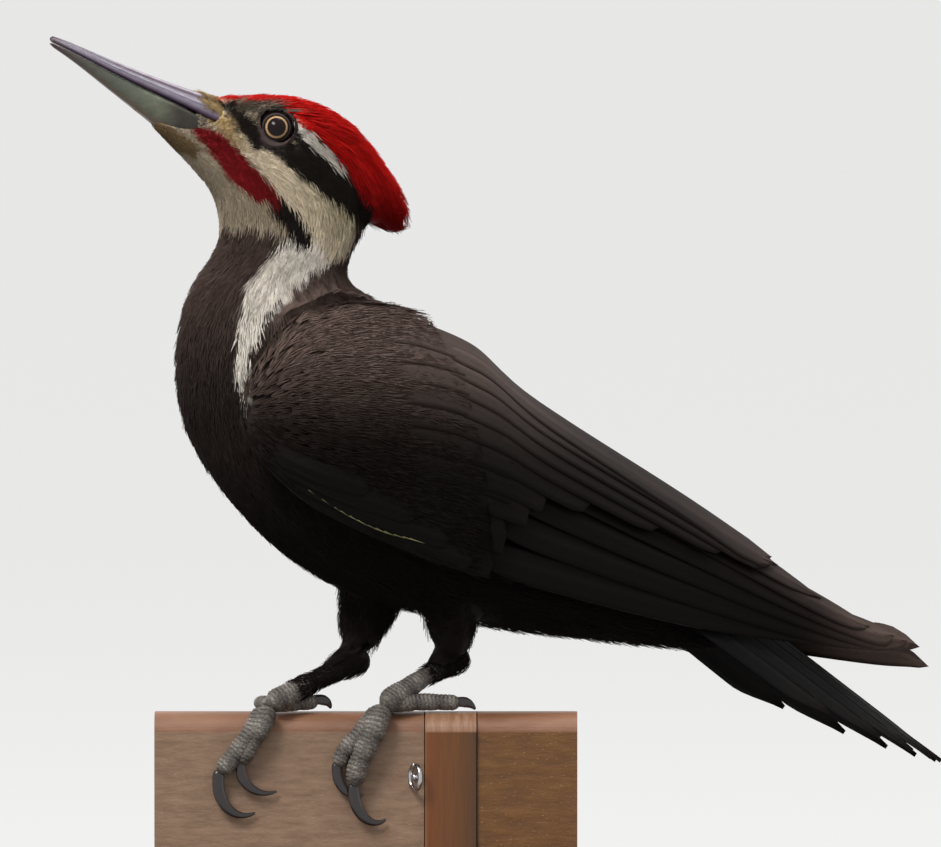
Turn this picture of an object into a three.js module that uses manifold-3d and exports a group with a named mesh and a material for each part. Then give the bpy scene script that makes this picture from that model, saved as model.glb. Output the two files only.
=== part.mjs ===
// Pileated woodpecker (Dryocopus pileatus), adult male, life size: a still display model of the bird
// gripping the top edge of a cut length of board, held over a flat base by two short rods.
// Millimetres, +Z up. The origin is the centre of the base's underside. The board runs along X, the
// bird's bill points towards -X, and its left side faces -Y.
import * as THREE from "three";
import { mergeVertices } from "three/addons/utils/BufferGeometryUtils.js";
import Module from "manifold-3d";

const wasm = await Module();
wasm.setup();

// ---------------------------------------------------------------- driving dimensions
const GAP = 0.3; // between pieces that touch
const BASE = { length: 210, width: 130, height: 12, corner: 16, edge: 2 };
const ROD = { radius: 4, height: 22, along: [-62, 22] };
const BOARD = { from: -86, to: 46, thickness: 20, height: 48, edge: 6 };
const STRIP = { from: -1.5, to: 14.5, proud: 1.2, behind: 6 }; // upright let into the board where two meet
const SCREW = { x: -4.5, below: 19.4, radius: 2.6, height: 1.4 };
const PERCH_TOP = BASE.height + ROD.height + BOARD.height;
const YAW = THREE.MathUtils.degToRad(20); // the bird's turn from the board's length
const BIRD_Y = 5; // the bird's middle plane crosses the board here, at X = 0
const EYE = { x: -54.4, y: 9.5, z: 182.8, radius: 5.3 };
const FEATHER = 1.3; // thickness of one flight feather in the solids
// The planes between head, neck and trunk: a point [x, z] in the middle plane, and the way down, in degrees.
const THROAT_CUT = { at: [-48, 147.5], facing: -93 };
const NECK_CUT = { at: [-52, 131], facing: -82 };

const COLOUR = {
  black: 0x2e2826,
  brown: 0x3a302b,
  white: 0xd8cfbe,
  red: 0xb5121b,
  horn: 0x5c5a62,
  paleHorn: 0x7d8684,
  iris: 0xc9b37a,
  skin: 0x55545a,
  claw: 0x2a2426,
  wood: 0x6b4a2f,
  board: 0xa8683c,
  steel: 0xb9bcc0,
};
const { lerp, clamp, smoothstep, degToRad } = THREE.MathUtils;
const V = (x, y, z) => new THREE.Vector3(x, y, z);
const smooth = (points) => new THREE.CatmullRomCurve3(points, false, "catmullrom");

// ---------------------------------------------------------------- solids and surfaces
function solidOf(geometry) {
  const bare = new THREE.BufferGeometry().setAttribute("position", geometry.getAttribute("position"));
  if (geometry.index) bare.setIndex(geometry.index);
  const merged = mergeVertices(bare, 1e-4);
  const vertProperties = merged.attributes.position.array;
  const triVerts = new Uint32Array(merged.index.array);
  return new wasm.Manifold(new wasm.Mesh({ numProp: 3, vertProperties, triVerts }));
}

function geometryOf(solid) {
  const mesh = solid.getMesh();
  return new THREE.BufferGeometry()
    .setAttribute("position", new THREE.BufferAttribute(new Float32Array(mesh.vertProperties), 3))
    .setIndex(new THREE.BufferAttribute(new Uint32Array(mesh.triVerts), 1));
}

// The largest body of a cut solid, without the crumbs that a cut can leave.
function largest(solid) {
  return solid.decompose().reduce((a, b) => (b.volume() > a.volume() ? b : a));
}

function signedVolume(points, index) {
  let sum = 0;
  for (let i = 0; i < index.length; i += 3) {
    const [a, b, c] = [points[index[i]], points[index[i + 1]], points[index[i + 2]]];
    sum += a.dot(V(0, 0, 0).crossVectors(b, c));
  }
  return sum / 6;
}

// A closed mesh from points and triangles, with its faces turned outwards.
function closedMesh(points, index) {
  const facing = signedVolume(points, index) < 0 ? index.slice().reverse() : index;
  return new THREE.BufferGeometry().setFromPoints(points).setIndex(facing);
}

// A closed surface through rings of points, with a fan at each end.
function loft(rings) {
  const sides = rings[0].length;
  const points = rings.flat();
  const index = [];
  for (let i = 0; i + 1 < rings.length; i++)
    for (let j = 0; j < sides; j++) {
      const [a, b] = [i * sides + j, i * sides + ((j + 1) % sides)];
      index.push(a, b, a + sides, b, b + sides, a + sides);
    }
  for (const [ring, start, turn] of [
    [rings[0], 0, true],
    [rings.at(-1), (rings.length - 1) * sides, false],
  ]) {
    const centre = points.length;
    points.push(ring.reduce((sum, p) => sum.add(p), V(0, 0, 0)).divideScalar(sides));
    for (let j = 0; j < sides; j++) {
      const [a, b] = [start + j, start + ((j + 1) % sides)];
      index.push(centre, ...(turn ? [b, a] : [a, b]));
    }
  }
  return closedMesh(points, index);
}

// A closed sheet: a grid of points on its outer face, and the same grid on its inner face.
function sheet(outer, inner) {
  const [rows, columns] = [outer.length, outer[0].length];
  const points = [...outer.flat(), ...inner.flat()];
  const under = rows * columns;
  const index = [];
  const quad = (a, b, c, d) => index.push(a, b, c, a, c, d);
  for (let i = 0; i + 1 < rows; i++)
    for (let j = 0; j + 1 < columns; j++) {
      const a = i * columns + j;
      quad(a, a + 1, a + columns + 1, a + columns);
      quad(under + a, under + a + columns, under + a + columns + 1, under + a + 1);
    }
  const rim = (a, b) => quad(a, under + a, under + b, b);
  for (let j = 0; j + 1 < columns; j++) {
    rim(j, j + 1);
    rim((rows - 1) * columns + j + 1, (rows - 1) * columns + j);
  }
  for (let i = 0; i + 1 < rows; i++) {
    rim((i + 1) * columns, i * columns);
    rim(i * columns + columns - 1, (i + 1) * columns + columns - 1);
  }
  return closedMesh(points, index);
}

// Carries a geometry from the bird's own frame, where its middle plane is y = 0, to the perch's frame.
const toPerch = (geometry) => geometry.rotateZ(YAW).translate(0, BIRD_Y, 0);

// ---------------------------------------------------------------- lofts between two outlines
// Stations are [top x, top z, bottom x, bottom z, half width]. Each section is an oval that spans the
// bird's middle plane from the bottom outline to the top one.
function railLoft(stations, { steps, sides, fullness = 2.2, grow = 0 }) {
  const top = smooth(stations.map(([x, z, , , half]) => V(x, half, z)));
  const bottom = smooth(stations.map(([, , x, z]) => V(x, 0, z)));
  const bent = (value) => Math.sign(value) * Math.abs(value) ** (2 / fullness);
  const rings = [];
  for (let i = 0; i <= steps; i++) {
    const [high, low] = [top.getPoint(i / steps), bottom.getPoint(i / steps)];
    const half = high.y + grow;
    high.y = 0;
    const centre = high.clone().add(low).divideScalar(2);
    const reach = high.clone().sub(centre);
    reach.setLength(reach.length() + grow);
    const ring = [];
    for (let j = 0; j < sides; j++) {
      const angle = (2 * Math.PI * j) / sides;
      ring.push(
        centre.clone().addScaledVector(reach, bent(Math.cos(angle))).setY(half * bent(Math.sin(angle))),
      );
    }
    rings.push(ring);
  }
  return toPerch(loft(rings));
}

// From the chin round the head to the nape, down the neck and back to the vent.
const BODY = [
  [-98.0, 191.6, -99.6, 190.4, 0.8], // chin
  [-80.6, 185.0, -84.6, 176.2, 7.8],
  [-63.2, 192.6, -73.2, 164.0, 13.4], // forehead and throat
  [-40.2, 188.4, -69.8, 156.6, 16.4], // crown
  [-23.9, 172.0, -69.4, 149.4, 17.6],
  [-22.0, 154.0, -72.4, 141.8, 18.8], // nape
  [-28.8, 137.5, -78.8, 132.0, 22.2],
  [-20.0, 130.8, -83.4, 114.0, 29.5], // foot of the neck
  [-6.0, 125.2, -81.2, 91.0, 35.0],
  [9.5, 115.0, -67.4, 67.0, 38.3], // breast at its widest
  [31.0, 94.5, -39.2, 42.5, 37.6],
  [58.0, 74.2, 7.0, 28.0, 31.4], // rump and belly
  [82.5, 56.8, 54.0, 21.2, 20.4],
  [109.0, 31.5, 93.0, 16.8, 4.4], // vent
];

// The crest's feathers, from the forehead over the crown to the tips behind the nape.
const CREST = [
  [-72.0, 192.2, -69.5, 189.0, 3.0],
  [-63.2, 194.0, -61.0, 184.0, 10.5],
  [-45.6, 193.2, -46.0, 174.0, 15.2],
  [-28.2, 184.8, -36.0, 166.0, 16.4],
  [-13.2, 167.0, -27.5, 155.0, 13.6],
  [-7.2, 155.4, -17.0, 150.4, 6.6],
  [-8.8, 151.2, -13.0, 149.8, 2.4],
];
// The line between red crest and face, from the bill over the eye to the nape, as [x, z].
const CREST_LINE = [
  [-80.0, 189.0],
  [-58.0, 190.0],
  [-38.0, 181.6],
  [-24.5, 163.0],
  [-17.0, 146.0],
];

// Everything above and behind the crest line, as a prism across the whole head; drop lowers the line.
function crestRegion(drop) {
  const line = new THREE.SplineCurve(CREST_LINE.map(([x, z]) => new THREE.Vector2(x, z - drop)));
  const shape = new THREE.Shape(line.getPoints(9));
  const [bill, nape] = [CREST_LINE.at(0), CREST_LINE.at(-1)];
  const [behind, above, width] = [nape[0] + 40, bill[1] + 30, 80];
  shape.lineTo(behind, nape[1] - drop);
  shape.lineTo(behind, above);
  shape.lineTo(bill[0], above);
  const prism = new THREE.ExtrudeGeometry(shape, { depth: width, bevelEnabled: false });
  return solidOf(toPerch(prism.translate(0, 0, -width / 2).rotateX(Math.PI / 2)));
}

// A block on the lower side of a cut.
function below({ at: [x, z], facing }, gap) {
  const size = 400;
  const block = new THREE.BoxGeometry(size, size, size).translate(size / 2 + gap, 0, 0);
  return solidOf(toPerch(block.rotateY(-degToRad(facing)).translate(x, 0, z)));
}

// ---------------------------------------------------------------- bill
// Each mandible is a loft between its two edges with a profile of [across, up] shares of a half section.
const UPPER_PROFILE = [[0.16, 1], [0.46, 0.72], [0.8, 0.5], [1, 0.22], [0.86, 0]];
const LOWER_PROFILE = [[0.86, 1], [1, 0.7], [0.78, 0.3], [0.34, 0]];
const UPPER_BILL = [
  [-125.0, 211.8, -125.4, 210.2, 1.0],
  [-118.2, 209.4, -117.2, 206.2, 2.3],
  [-103.6, 203.4, -100.2, 197.6, 4.2],
  [-86.0, 196.8, -83.0, 189.6, 5.7],
  [-71.0, 191.8, -69.0, 182.8, 6.7],
  [-65.5, 190.0, -64.0, 180.8, 6.6],
];
const LOWER_BILL = [
  [-125.4, 209.8, -125.1, 208.8, 0.9],
  [-117.4, 205.8, -116.2, 202.8, 2.0],
  [-100.5, 197.2, -101.7, 192.0, 3.8],
  [-83.4, 189.2, -85.5, 182.8, 5.2],
  [-69.4, 182.4, -71.5, 175.8, 6.0],
  [-65.0, 180.2, -67.0, 173.6, 5.9],
];

function mandible(stations, profile, steps) {
  const top = smooth(stations.map(([x, z, , , half]) => V(x, half, z)));
  const bottom = smooth(stations.map(([, , x, z]) => V(x, 0, z)));
  const outline = [...profile, ...profile.toReversed().map(([across, up]) => [-across, up])];
  const rings = [];
  for (let i = 0; i <= steps; i++) {
    const [high, low] = [top.getPoint(i / steps), bottom.getPoint(i / steps)];
    rings.push(
      outline.map(([across, up]) => V(lerp(low.x, high.x, up), across * high.y, lerp(low.z, high.z, up))),
    );
  }
  return solidOf(toPerch(loft(rings)));
}

// ---------------------------------------------------------------- wings
// The folded wing from the wrist to the tip: [lower x, out, z, upper x, out, z, bulge]. Out is the distance
// from the bird's middle plane, and bulge is how far the middle of the section stands off its chord.
const WING = [
  [-72.0, 28.5, 93.0, -71.4, 28.5, 98.5, 0.3], // wrist
  [-69.6, 31.0, 84.5, -68.0, 28.4, 108.5, 2.4],
  [-51.4, 37.2, 67.0, -50.8, 23.0, 126.2, 9.6], // shoulder
  [-15.0, 37.6, 50.5, -16.5, 9.5, 127.6, 15.6],
  [8.0, 35.2, 43.6, 9.0, 7.2, 118.0, 15.2],
  [32.0, 31.6, 37.8, 32.0, 6.4, 98.8, 13.0],
  [85.0, 21.4, 27.0, 86.0, 6.0, 65.4, 7.6],
  [140.0, 12.6, 18.4, 134.0, 8.0, 33.4, 2.2],
  [158.0, 10.0, 17.6, 155.5, 9.0, 24.2, 0.8], // tip of the longest primary
];
const WING_TIP_SHIFT = { left: [0, 0], right: [8, -6.5] }; // [x, z] of the tip: the far wing hangs lower
const WING_CURVES = [0, 3].map((k) => smooth(WING.map((row) => V(...row.slice(k, k + 3)))));
const WING_BULGE = smooth(WING.map((row) => V(row[6], 0, 0)));

// A point of the wing's face: s runs from wrist to tip, t from the lower edge to the upper one, and
// lift is the distance out from the face.
function wingPoint(side, s, t, lift) {
  const [low, high] = WING_CURVES.map((curve) => curve.getPoint(s));
  const normal = V(0, high.z - low.z, low.y - high.y).normalize();
  const point = low.clone().lerp(high, t);
  point.addScaledVector(normal, WING_BULGE.getPoint(s).x * Math.sin(Math.PI * t) + lift);
  const [dx, dz] = WING_TIP_SHIFT[side];
  return V(point.x + dx * s, side === "left" ? -point.y : point.y, point.z + dz * s * s);
}

// A shell of the wing: span gives [first s, last s] at each t, and face the outer and inner lift.
function wingShell(side, { across, span, face, rows, columns }) {
  const grids = [[], []];
  for (let i = 0; i <= rows; i++) {
    const lines = [[], []];
    for (let j = 0; j <= columns; j++) {
      const t = lerp(...across, j / columns);
      const s = lerp(...span(t), i / rows);
      face(s, t).forEach((lift, k) => lines[k].push(wingPoint(side, s, t, lift)));
    }
    grids.forEach((grid, k) => grid.push(lines[k]));
  }
  return solidOf(toPerch(sheet(...grids)));
}

// Feathers lie like shingles: a ramp of one feather's thickness across each, from the lower edge upwards.
const shingle = (t, count) => FEATHER * (((t * count) % 1) - 1) * 0.55;
const round = (value) => Math.sqrt(Math.max(0, 1 - value * value));
// How far a feather's tip falls short at the edges of its own strip, as a share of the wing's length.
const scallop = (t, count) => 0.012 * (2 * ((t * count) % 1) - 1) ** 2;

// The flesh and small feathers of the arm are thickest in the middle and thin out to every edge.
const swell = (t) => Math.sin(Math.PI * clamp(t, 0.02, 0.98)) ** 0.7;
const armDepth = (s, t) => 1.2 + 7.5 * swell(t) * round(2 * s - 0.6);

const WING_PARTS = {
  arm: {
    across: [0, 1],
    span: (t) => [0.012, 0.5 - 0.06 * t],
    face: (s, t) => [0, -armDepth(s, t)],
    rows: 7,
    columns: 8,
  },
  secondaries: {
    across: [0.26, 1],
    span: (t) => [0.505 - 0.06 * t, 0.56 + 0.24 * smoothstep(t, 0.26, 0.8) - scallop(t, 6)],
    face: (s, t) => [shingle(t, 6) - 0.2, shingle(t, 6) - 2],
    rows: 4,
    columns: 18,
  },
  primaries: {
    across: [0, 1],
    span: (t) => [0.508 - 0.06 * t, 1 - 0.13 * smoothstep(t, 0.35, 1) - scallop(t, 6)],
    face: (s, t) => [shingle(t, 6) - 3.6, shingle(t, 6) - 5.2],
    rows: 4,
    columns: 18,
  },
};
// What the body gives up to each wing: the wing's own room, with a gap, and all that lies outside it.
const WING_ROOMS = [
  {
    across: [-0.03, 1.03],
    span: () => [0, 0.52],
    face: (s, t) => [15, -armDepth(s, t) - 2.5 * GAP],
    rows: 7,
    columns: 8,
  },
  { across: [-0.03, 1.03], span: () => [0.42, 1], face: () => [15, -8], rows: 7, columns: 6 },
];

// ---------------------------------------------------------------- tail
const TAIL = {
  root: [45, 74.6],
  slope: degToRad(36.3),
  length: 157,
  pairs: 5,
  shorter: [0, 5, 13, 26, 46], // how far each pair falls short of the middle one
  point: 13, // length of a feather's stiff point
  halfWidth: [13, 24], // at the root, and at its widest
  arch: 14, // how far the outer feathers hang below the middle ones
};

// The folded tail: ten narrow feathers with stiff points, each tucked under the one nearer the middle.
function tailFan() {
  const along = V(Math.cos(TAIL.slope), 0, -Math.sin(TAIL.slope));
  const up = V(Math.sin(TAIL.slope), 0, Math.cos(TAIL.slope));
  const columns = [];
  for (let edge = -TAIL.pairs; edge < TAIL.pairs; edge++) columns.push(edge + 0.02, edge + 0.5);
  columns.push(TAIL.pairs - 0.02);
  const grids = [[], []];
  for (const share of [0, 0.35, 0.7, 0.92, 1]) {
    const rows = [[], []];
    for (const column of columns) {
      const pair = Math.floor(Math.abs(column));
      const within = Math.abs(column) - pair;
      const tip = TAIL.point * Math.abs(2 * within - 1) ** 1.4 * (share > 0.9 ? 1 : 0);
      const reach = (TAIL.length - TAIL.shorter[pair]) * share - tip;
      const half = lerp(...TAIL.halfWidth, smoothstep(reach / TAIL.length, 0, 0.75));
      const across = column / TAIL.pairs;
      const drop = TAIL.arch * across ** 2 + FEATHER * 0.5 * (pair + 1 - within);
      const point = V(TAIL.root[0], half * across, TAIL.root[1]).addScaledVector(along, reach);
      [0, -FEATHER].forEach((h, n) => rows[n].push(point.clone().addScaledVector(up, h - drop)));
    }
    grids.forEach((grid, n) => grid.push(rows[n]));
  }
  return solidOf(toPerch(sheet(...grids)));
}

// ---------------------------------------------------------------- legs, toes and claws, in the perch's frame
// A round limb through points, with a radius at each, and rounded ends. It is flat times as thick along
// the direction thin.
function limb(points, radii, { sides = 7, steps = 4, grow = 0, flat = 1, thin = V(0, 0, 1) } = {}) {
  const curve = new THREE.CatmullRomCurve3(points.map((p) => V(...p)));
  const sizes = smooth(radii.map((r) => V(r, 0, 0)));
  const frames = curve.computeFrenetFrames(steps);
  const ring = (centre, i, radius) =>
    Array.from({ length: sides }, (_, j) => {
      const angle = (2 * Math.PI * j) / sides;
      const out = frames.normals[i].clone().multiplyScalar(Math.cos(angle));
      out.addScaledVector(frames.binormals[i], Math.sin(angle));
      out.addScaledVector(thin, (flat - 1) * out.dot(thin));
      return centre.clone().addScaledVector(out, radius);
    });
  const rings = [];
  for (let i = 0; i <= steps; i++) {
    const centre = curve.getPointAt(i / steps);
    const radius = sizes.getPoint(i / steps).x + grow;
    const end = curve.getTangentAt(i / steps);
    if (i === 0) rings.push(ring(centre.clone().addScaledVector(end, -0.55 * radius), i, 0.55 * radius));
    rings.push(ring(centre, i, radius));
    if (i === steps) rings.push(ring(centre.clone().addScaledVector(end, 0.55 * radius), i, 0.55 * radius));
  }
  return solidOf(loft(rings));
}

// A claw: part of an ellipse from start, heading along forward and curling towards inward. Its two
// half-sizes are along those, and turn is how far round it goes, in degrees.
function clawPoints(start, forward, inward, [length, reach], turn) {
  const [ahead, curl] = [V(...forward).normalize(), V(...inward).normalize()];
  return [0, 0.3, 0.6, 0.85, 1].map((share) => {
    const angle = degToRad(turn * share);
    const point = V(...start).addScaledVector(ahead, length * Math.sin(angle));
    return point.addScaledVector(curl, reach * (1 - Math.cos(angle))).toArray();
  });
}

// Legs are in the perch's frame. Each limb is its path and its radii, and each toe ends in its claw's
// start, heading, curl, half-sizes and turn in degrees. Toes 2 and 3, the front toes, hang over the
// board's front edge; 4, the long outer toe, and 1, the small hind toe, lie back on its top.
const LEGS = {
  left: {
    thigh: [[[5, -8, 46], [7.6, -2.4, 27.5], [6.0, 2.6, 20.5], [9.4, 6.2, 17.8]], [15.5, 10.4, 9.1, 5.0]],
    cuff: [[[6.4, 3.8, 19.5], [1.0, -0.4, 14.2]], [6.4, 3.9]],
    tarsus: [[[11.6, 7.6, 17.6], [-1.0, -1.8, 11.4], [-14.6, -11.2, 2.6]], [3.7, 2.9, 4.3]],
    toes: {
      3: [
        [[-14.6, -11.2, 2.4], [-17.3, -14.4, -4.5], [-22.2, -14.4, -15.6], [-23.6, -13.9, -22.6]],
        [4.0, 3.9, 3.3, 2.9],
        [[-23.7, -13.7, -23.6], [0, 0, -1], [1, 0.2, 0], [10.4, 7.2], 115],
      ],
      2: [
        [[-15.6, -11.2, 1.6], [-21.6, -13.3, -6.0], [-26.6, -13.2, -11.6], [-28.8, -13.0, -16.4]],
        [3.2, 2.9, 2.7, 2.4],
        [[-29.0, -12.9, -17.2], [0, 0, -1], [1, 0.1, 0], [8.4, 6.4], 108],
      ],
      4: [
        [[-14.6, -10.4, 3.0], [-5.6, -7.2, 3.4], [2.2, -5.0, 3.3], [9.4, -3.6, 3.0]],
        [3.2, 2.8, 2.6, 2.3],
        [[9.8, -3.5, 3.3], [1, 0.1, 0], [0, 0, -1], [5.2, 5.2], 58],
      ],
      1: [
        [[-13.8, -9.0, 3.0], [-13.0, -3.0, 3.0], [-13.4, 3.0, 2.5]],
        [2.6, 2.2, 1.9],
        [[-13.5, 3.4, 2.8], [0, 1, 0], [0, 0, -1], [4.4, 4.4], 54],
      ],
    },
  },
  right: {
    thigh: [[[-15.2, 15, 46], [-20.2, 9, 29], [-22.6, 4.6, 21.4], [-20, 2.2, 17.6]], [18.6, 11.2, 8.9, 5]],
    cuff: [[[-22.6, 2.8, 19.6], [-32.4, -2.9, 12.6]], [6.2, 3.6]],
    tarsus: [[[-19.2, 1.5, 17.4], [-34.0, -4.7, 10.9], [-50.4, -11.2, 2.8]], [3.7, 2.8, 4.2]],
    toes: {
      3: [
        [[-51.4, -11.2, 1.6], [-54.8, -13.9, -5.0], [-59.8, -13.9, -11.6], [-65.6, -13.5, -18.4]],
        [3.8, 3.5, 3.1, 2.8],
        [[-65.9, -13.4, -19.6], [-0.1, 0, -1], [1, 0.15, 0], [12.2, 9.3], 112],
      ],
      2: [
        [[-50.4, -11.6, 2.0], [-52.2, -14.2, -3.0], [-56.6, -14.1, -10.4], [-58.8, -13.6, -15.6]],
        [3.6, 3.3, 2.9, 2.6],
        [[-59.0, -13.5, -16.8], [0, 0, -1], [1, 0.15, 0], [8.0, 8.2], 113],
      ],
      4: [
        [[-50.0, -10.2, 3.2], [-44.6, -6.6, 3.2], [-39.4, -4.2, 3.3], [-35.0, -2.8, 3.4]],
        [3.1, 2.8, 2.6, 2.3],
        [[-34.7, -2.7, 4.0], [1, 0.1, 0], [0, 0, -1], [3.6, 2.9], 90],
      ],
      1: [
        [[-50.6, -8.8, 3.0], [-52.4, -3.0, 3.0], [-53.6, 3.0, 2.5]],
        [2.6, 2.2, 1.9],
        [[-53.7, 3.4, 2.8], [-0.1, 1, 0], [0, 0, -1], [4.4, 4.4], 54],
      ],
    },
  },
};
// The radii along each toe's claw, from its root to its tip.
const CLAW_TAPER = [1.9, 1.95, 1.6, 1.0, 0.4];
const CLAW_SCALE = { 1: 0.6, 2: 0.85, 3: 1, 4: 0.85 };
const CLAW = Object.fromEntries(
  Object.entries(CLAW_SCALE).map(([digit, scale]) => [digit, CLAW_TAPER.map((radius) => radius * scale)]),
);

// ---------------------------------------------------------------- stand
function baseBlock() {
  const { length, width, height, corner, edge } = BASE;
  const [w, d] = [length / 2 - edge, width / 2 - edge];
  const shape = new THREE.Shape();
  shape.absarc(w - corner, d - corner, corner, 0, Math.PI / 2);
  shape.absarc(corner - w, d - corner, corner, Math.PI / 2, Math.PI);
  shape.absarc(corner - w, corner - d, corner, Math.PI, 1.5 * Math.PI);
  shape.absarc(w - corner, corner - d, corner, 1.5 * Math.PI, 2 * Math.PI);
  const block = new THREE.ExtrudeGeometry(shape, {
    depth: height - 2 * edge,
    bevelThickness: edge,
    bevelSize: edge,
    bevelSegments: 1,
    curveSegments: 4,
  });
  return block.translate(0, 0, edge - PERCH_TOP);
}

// A board along X with both top edges rounded, between a front and a back y; out widens it on every side.
function boardBar({ from, to }, front, back, out = 0) {
  const { height, edge } = BOARD;
  const shape = new THREE.Shape();
  const [near, far, top] = [front - out, back + out, out];
  shape.moveTo(near, -height - out);
  shape.lineTo(far, -height - out);
  shape.absarc(far - edge, top - edge, edge, 0, Math.PI / 2);
  shape.absarc(near + edge, top - edge, edge, Math.PI / 2, Math.PI);
  const depth = to - from + 2 * out;
  const bar = new THREE.ExtrudeGeometry(shape, { depth, bevelEnabled: false, curveSegments: 5 });
  return bar.rotateX(Math.PI / 2).rotateZ(Math.PI / 2).translate(from - out, 0, 0);
}

// ---------------------------------------------------------------- putting it together
const model = new THREE.Group();
model.name = "pileated_woodpecker";
model.position.z = PERCH_TOP;

function add(name, shape, color, { roughness = 0.7, metalness = 0 } = {}) {
  const solid = shape.isBufferGeometry ? shape : geometryOf(shape);
  const geometry = solid.index ? solid.toNonIndexed() : solid;
  geometry.computeVertexNormals();
  const material = new THREE.MeshStandardMaterial({ color, roughness, metalness });
  const mesh = new THREE.Mesh(geometry, material);
  mesh.name = name;
  model.add(mesh);
}

function addStand() {
  const half = BOARD.thickness / 2;
  const board = (out) => solidOf(boardBar(BOARD, -half, half, out));
  const strip = (out) => boardBar(STRIP, -half - STRIP.proud, half - STRIP.behind, out);
  const slot = solidOf(strip(GAP));
  add("stand_perch_board", board(0).subtract(slot), COLOUR.board, { roughness: 0.6 });
  add("stand_perch_strip", strip(0), COLOUR.board, { roughness: 0.6 });
  const screw = new THREE.CylinderGeometry(SCREW.radius, SCREW.radius * 0.72, SCREW.height, 14);
  screw.translate(SCREW.x, -half - GAP - SCREW.height / 2, -SCREW.below);
  add("stand_perch_screw", screw, COLOUR.steel, { roughness: 0.3, metalness: 1 });
  ROD.along.forEach((x, i) => {
    const rod = new THREE.CylinderGeometry(ROD.radius, ROD.radius, ROD.height - 2 * GAP, 16);
    rod.rotateX(Math.PI / 2).translate(x, 0, -BOARD.height - ROD.height / 2);
    add(`stand_rod_${i + 1}`, rod, COLOUR.steel, { roughness: 0.35, metalness: 1 });
  });
  add("stand_base", baseBlock(), COLOUR.wood, { roughness: 0.5 });
  // The toes are cut by this, so that their soles lie flat on the board.
  return board(GAP).add(slot);
}

// Adds both mandibles, and returns the room that the head leaves for their roots.
function addBill() {
  add("bill_upper", mandible(UPPER_BILL, UPPER_PROFILE, 10), COLOUR.horn, { roughness: 0.35 });
  add("bill_lower", mandible(LOWER_BILL, LOWER_PROFILE, 9), COLOUR.paleHorn, { roughness: 0.4 });
  const room = 1.6 * GAP;
  const widened = (stations, profile) => {
    const wider = stations.map(([x1, z1, x2, z2, half]) => [x1, z1 + room, x2, z2 - room, half + room]);
    const [x1, z1, x2, z2, half] = wider.at(-1);
    const behindRoot = [x1 + 2 * room, z1 - room, x2 + 2 * room, z2 - room, half];
    return mandible([...wider, behindRoot], profile, 6);
  };
  return widened(UPPER_BILL, UPPER_PROFILE).add(widened(LOWER_BILL, LOWER_PROFILE));
}

// Adds both eyeballs, and returns their sockets.
function addEyes() {
  const ball = (side, radius, detail) => {
    const sphere = new THREE.SphereGeometry(radius, 2 * detail, detail + 2).rotateX(Math.PI / 2);
    return toPerch(sphere.translate(EYE.x, side * EYE.y, EYE.z));
  };
  add("eye_left", ball(-1, EYE.radius, 6), COLOUR.iris, { roughness: 0.1 });
  add("eye_right", ball(1, EYE.radius, 6), COLOUR.iris, { roughness: 0.1 });
  const socket = (side) => solidOf(ball(side, EYE.radius + 2 * GAP, 5));
  return socket(-1).add(socket(1));
}

// Adds both wings, and returns what they take from the body.
function addWings() {
  const rooms = [];
  for (const side of ["left", "right"]) {
    for (const [name, part] of Object.entries(WING_PARTS))
      add(`wing_${side}_${name}`, wingShell(side, part), COLOUR.brown, { roughness: 0.6 });
    rooms.push(...WING_ROOMS.map((room) => wingShell(side, room)));
  }
  return rooms.reduce((a, b) => a.add(b));
}

// Adds crest, head, neck, trunk and tail, and returns what the legs keep clear of.
function addBody(hollow, wings) {
  const body = (grow) => solidOf(railLoft(BODY, { steps: 40, sides: 14, grow }));
  const crest = solidOf(railLoft(CREST, { steps: 12, sides: 12, fullness: 2.4 }));
  const whole = body(0).add(crest).subtract(hollow);
  const rest = whole.subtract(crestRegion(GAP));
  const neck = rest.intersect(below(THROAT_CUT, GAP)).subtract(below(NECK_CUT, 0)).subtract(wings);
  const trunk = rest.intersect(below(NECK_CUT, GAP)).subtract(wings);
  const kept = body(GAP).add(wings);
  add("crest", largest(whole.intersect(crestRegion(0))), COLOUR.red);
  add("head", largest(rest.subtract(below(THROAT_CUT, 0))), COLOUR.white);
  add("neck", largest(neck), COLOUR.black);
  add("trunk", largest(trunk), COLOUR.black);
  add("tail", largest(tailFan().subtract(kept)), COLOUR.black);
  return kept;
}

function addLegs(perch, body) {
  for (const [side, { thigh, cuff, tarsus, toes }] of Object.entries(LEGS)) {
    const shank = limb(...tarsus, { grow: GAP });
    const feathered = limb(...thigh, { sides: 9 }).add(limb(...cuff));
    add(`thigh_${side}`, largest(feathered.subtract(shank).subtract(body)), COLOUR.black);
    add(`tarsus_${side}`, largest(limb(...tarsus).subtract(perch)), COLOUR.skin);
    let taken = perch.add(shank);
    for (const [digit, [path, radii, arc]] of Object.entries(toes)) {
      const thin = V(...arc[1]).cross(V(...arc[2])).normalize();
      const claw = (grow) => limb(clawPoints(...arc), CLAW[digit], { sides: 6, flat: 0.7, thin, grow });
      const toe = (grow) => limb(path, radii, { grow });
      const horn = claw(0).subtract(taken).subtract(toe(GAP));
      add(`toe_${side}_${digit}`, largest(toe(0).subtract(taken)), COLOUR.skin);
      add(`claw_${side}_${digit}`, largest(horn), COLOUR.claw, { roughness: 0.35 });
      taken = taken.add(toe(GAP)).add(claw(GAP));
    }
  }
}

const perch = addStand();
const hollow = addBill().add(addEyes());
addLegs(perch, addBody(hollow, addWings()));

export default model;
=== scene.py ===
"""A life-size pileated woodpecker on its perch: skin, feathers, eyes, bill, feet and stand."""

import math

import bpy
import numpy as np
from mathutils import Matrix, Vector
from mathutils.bvhtree import BVHTree


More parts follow.
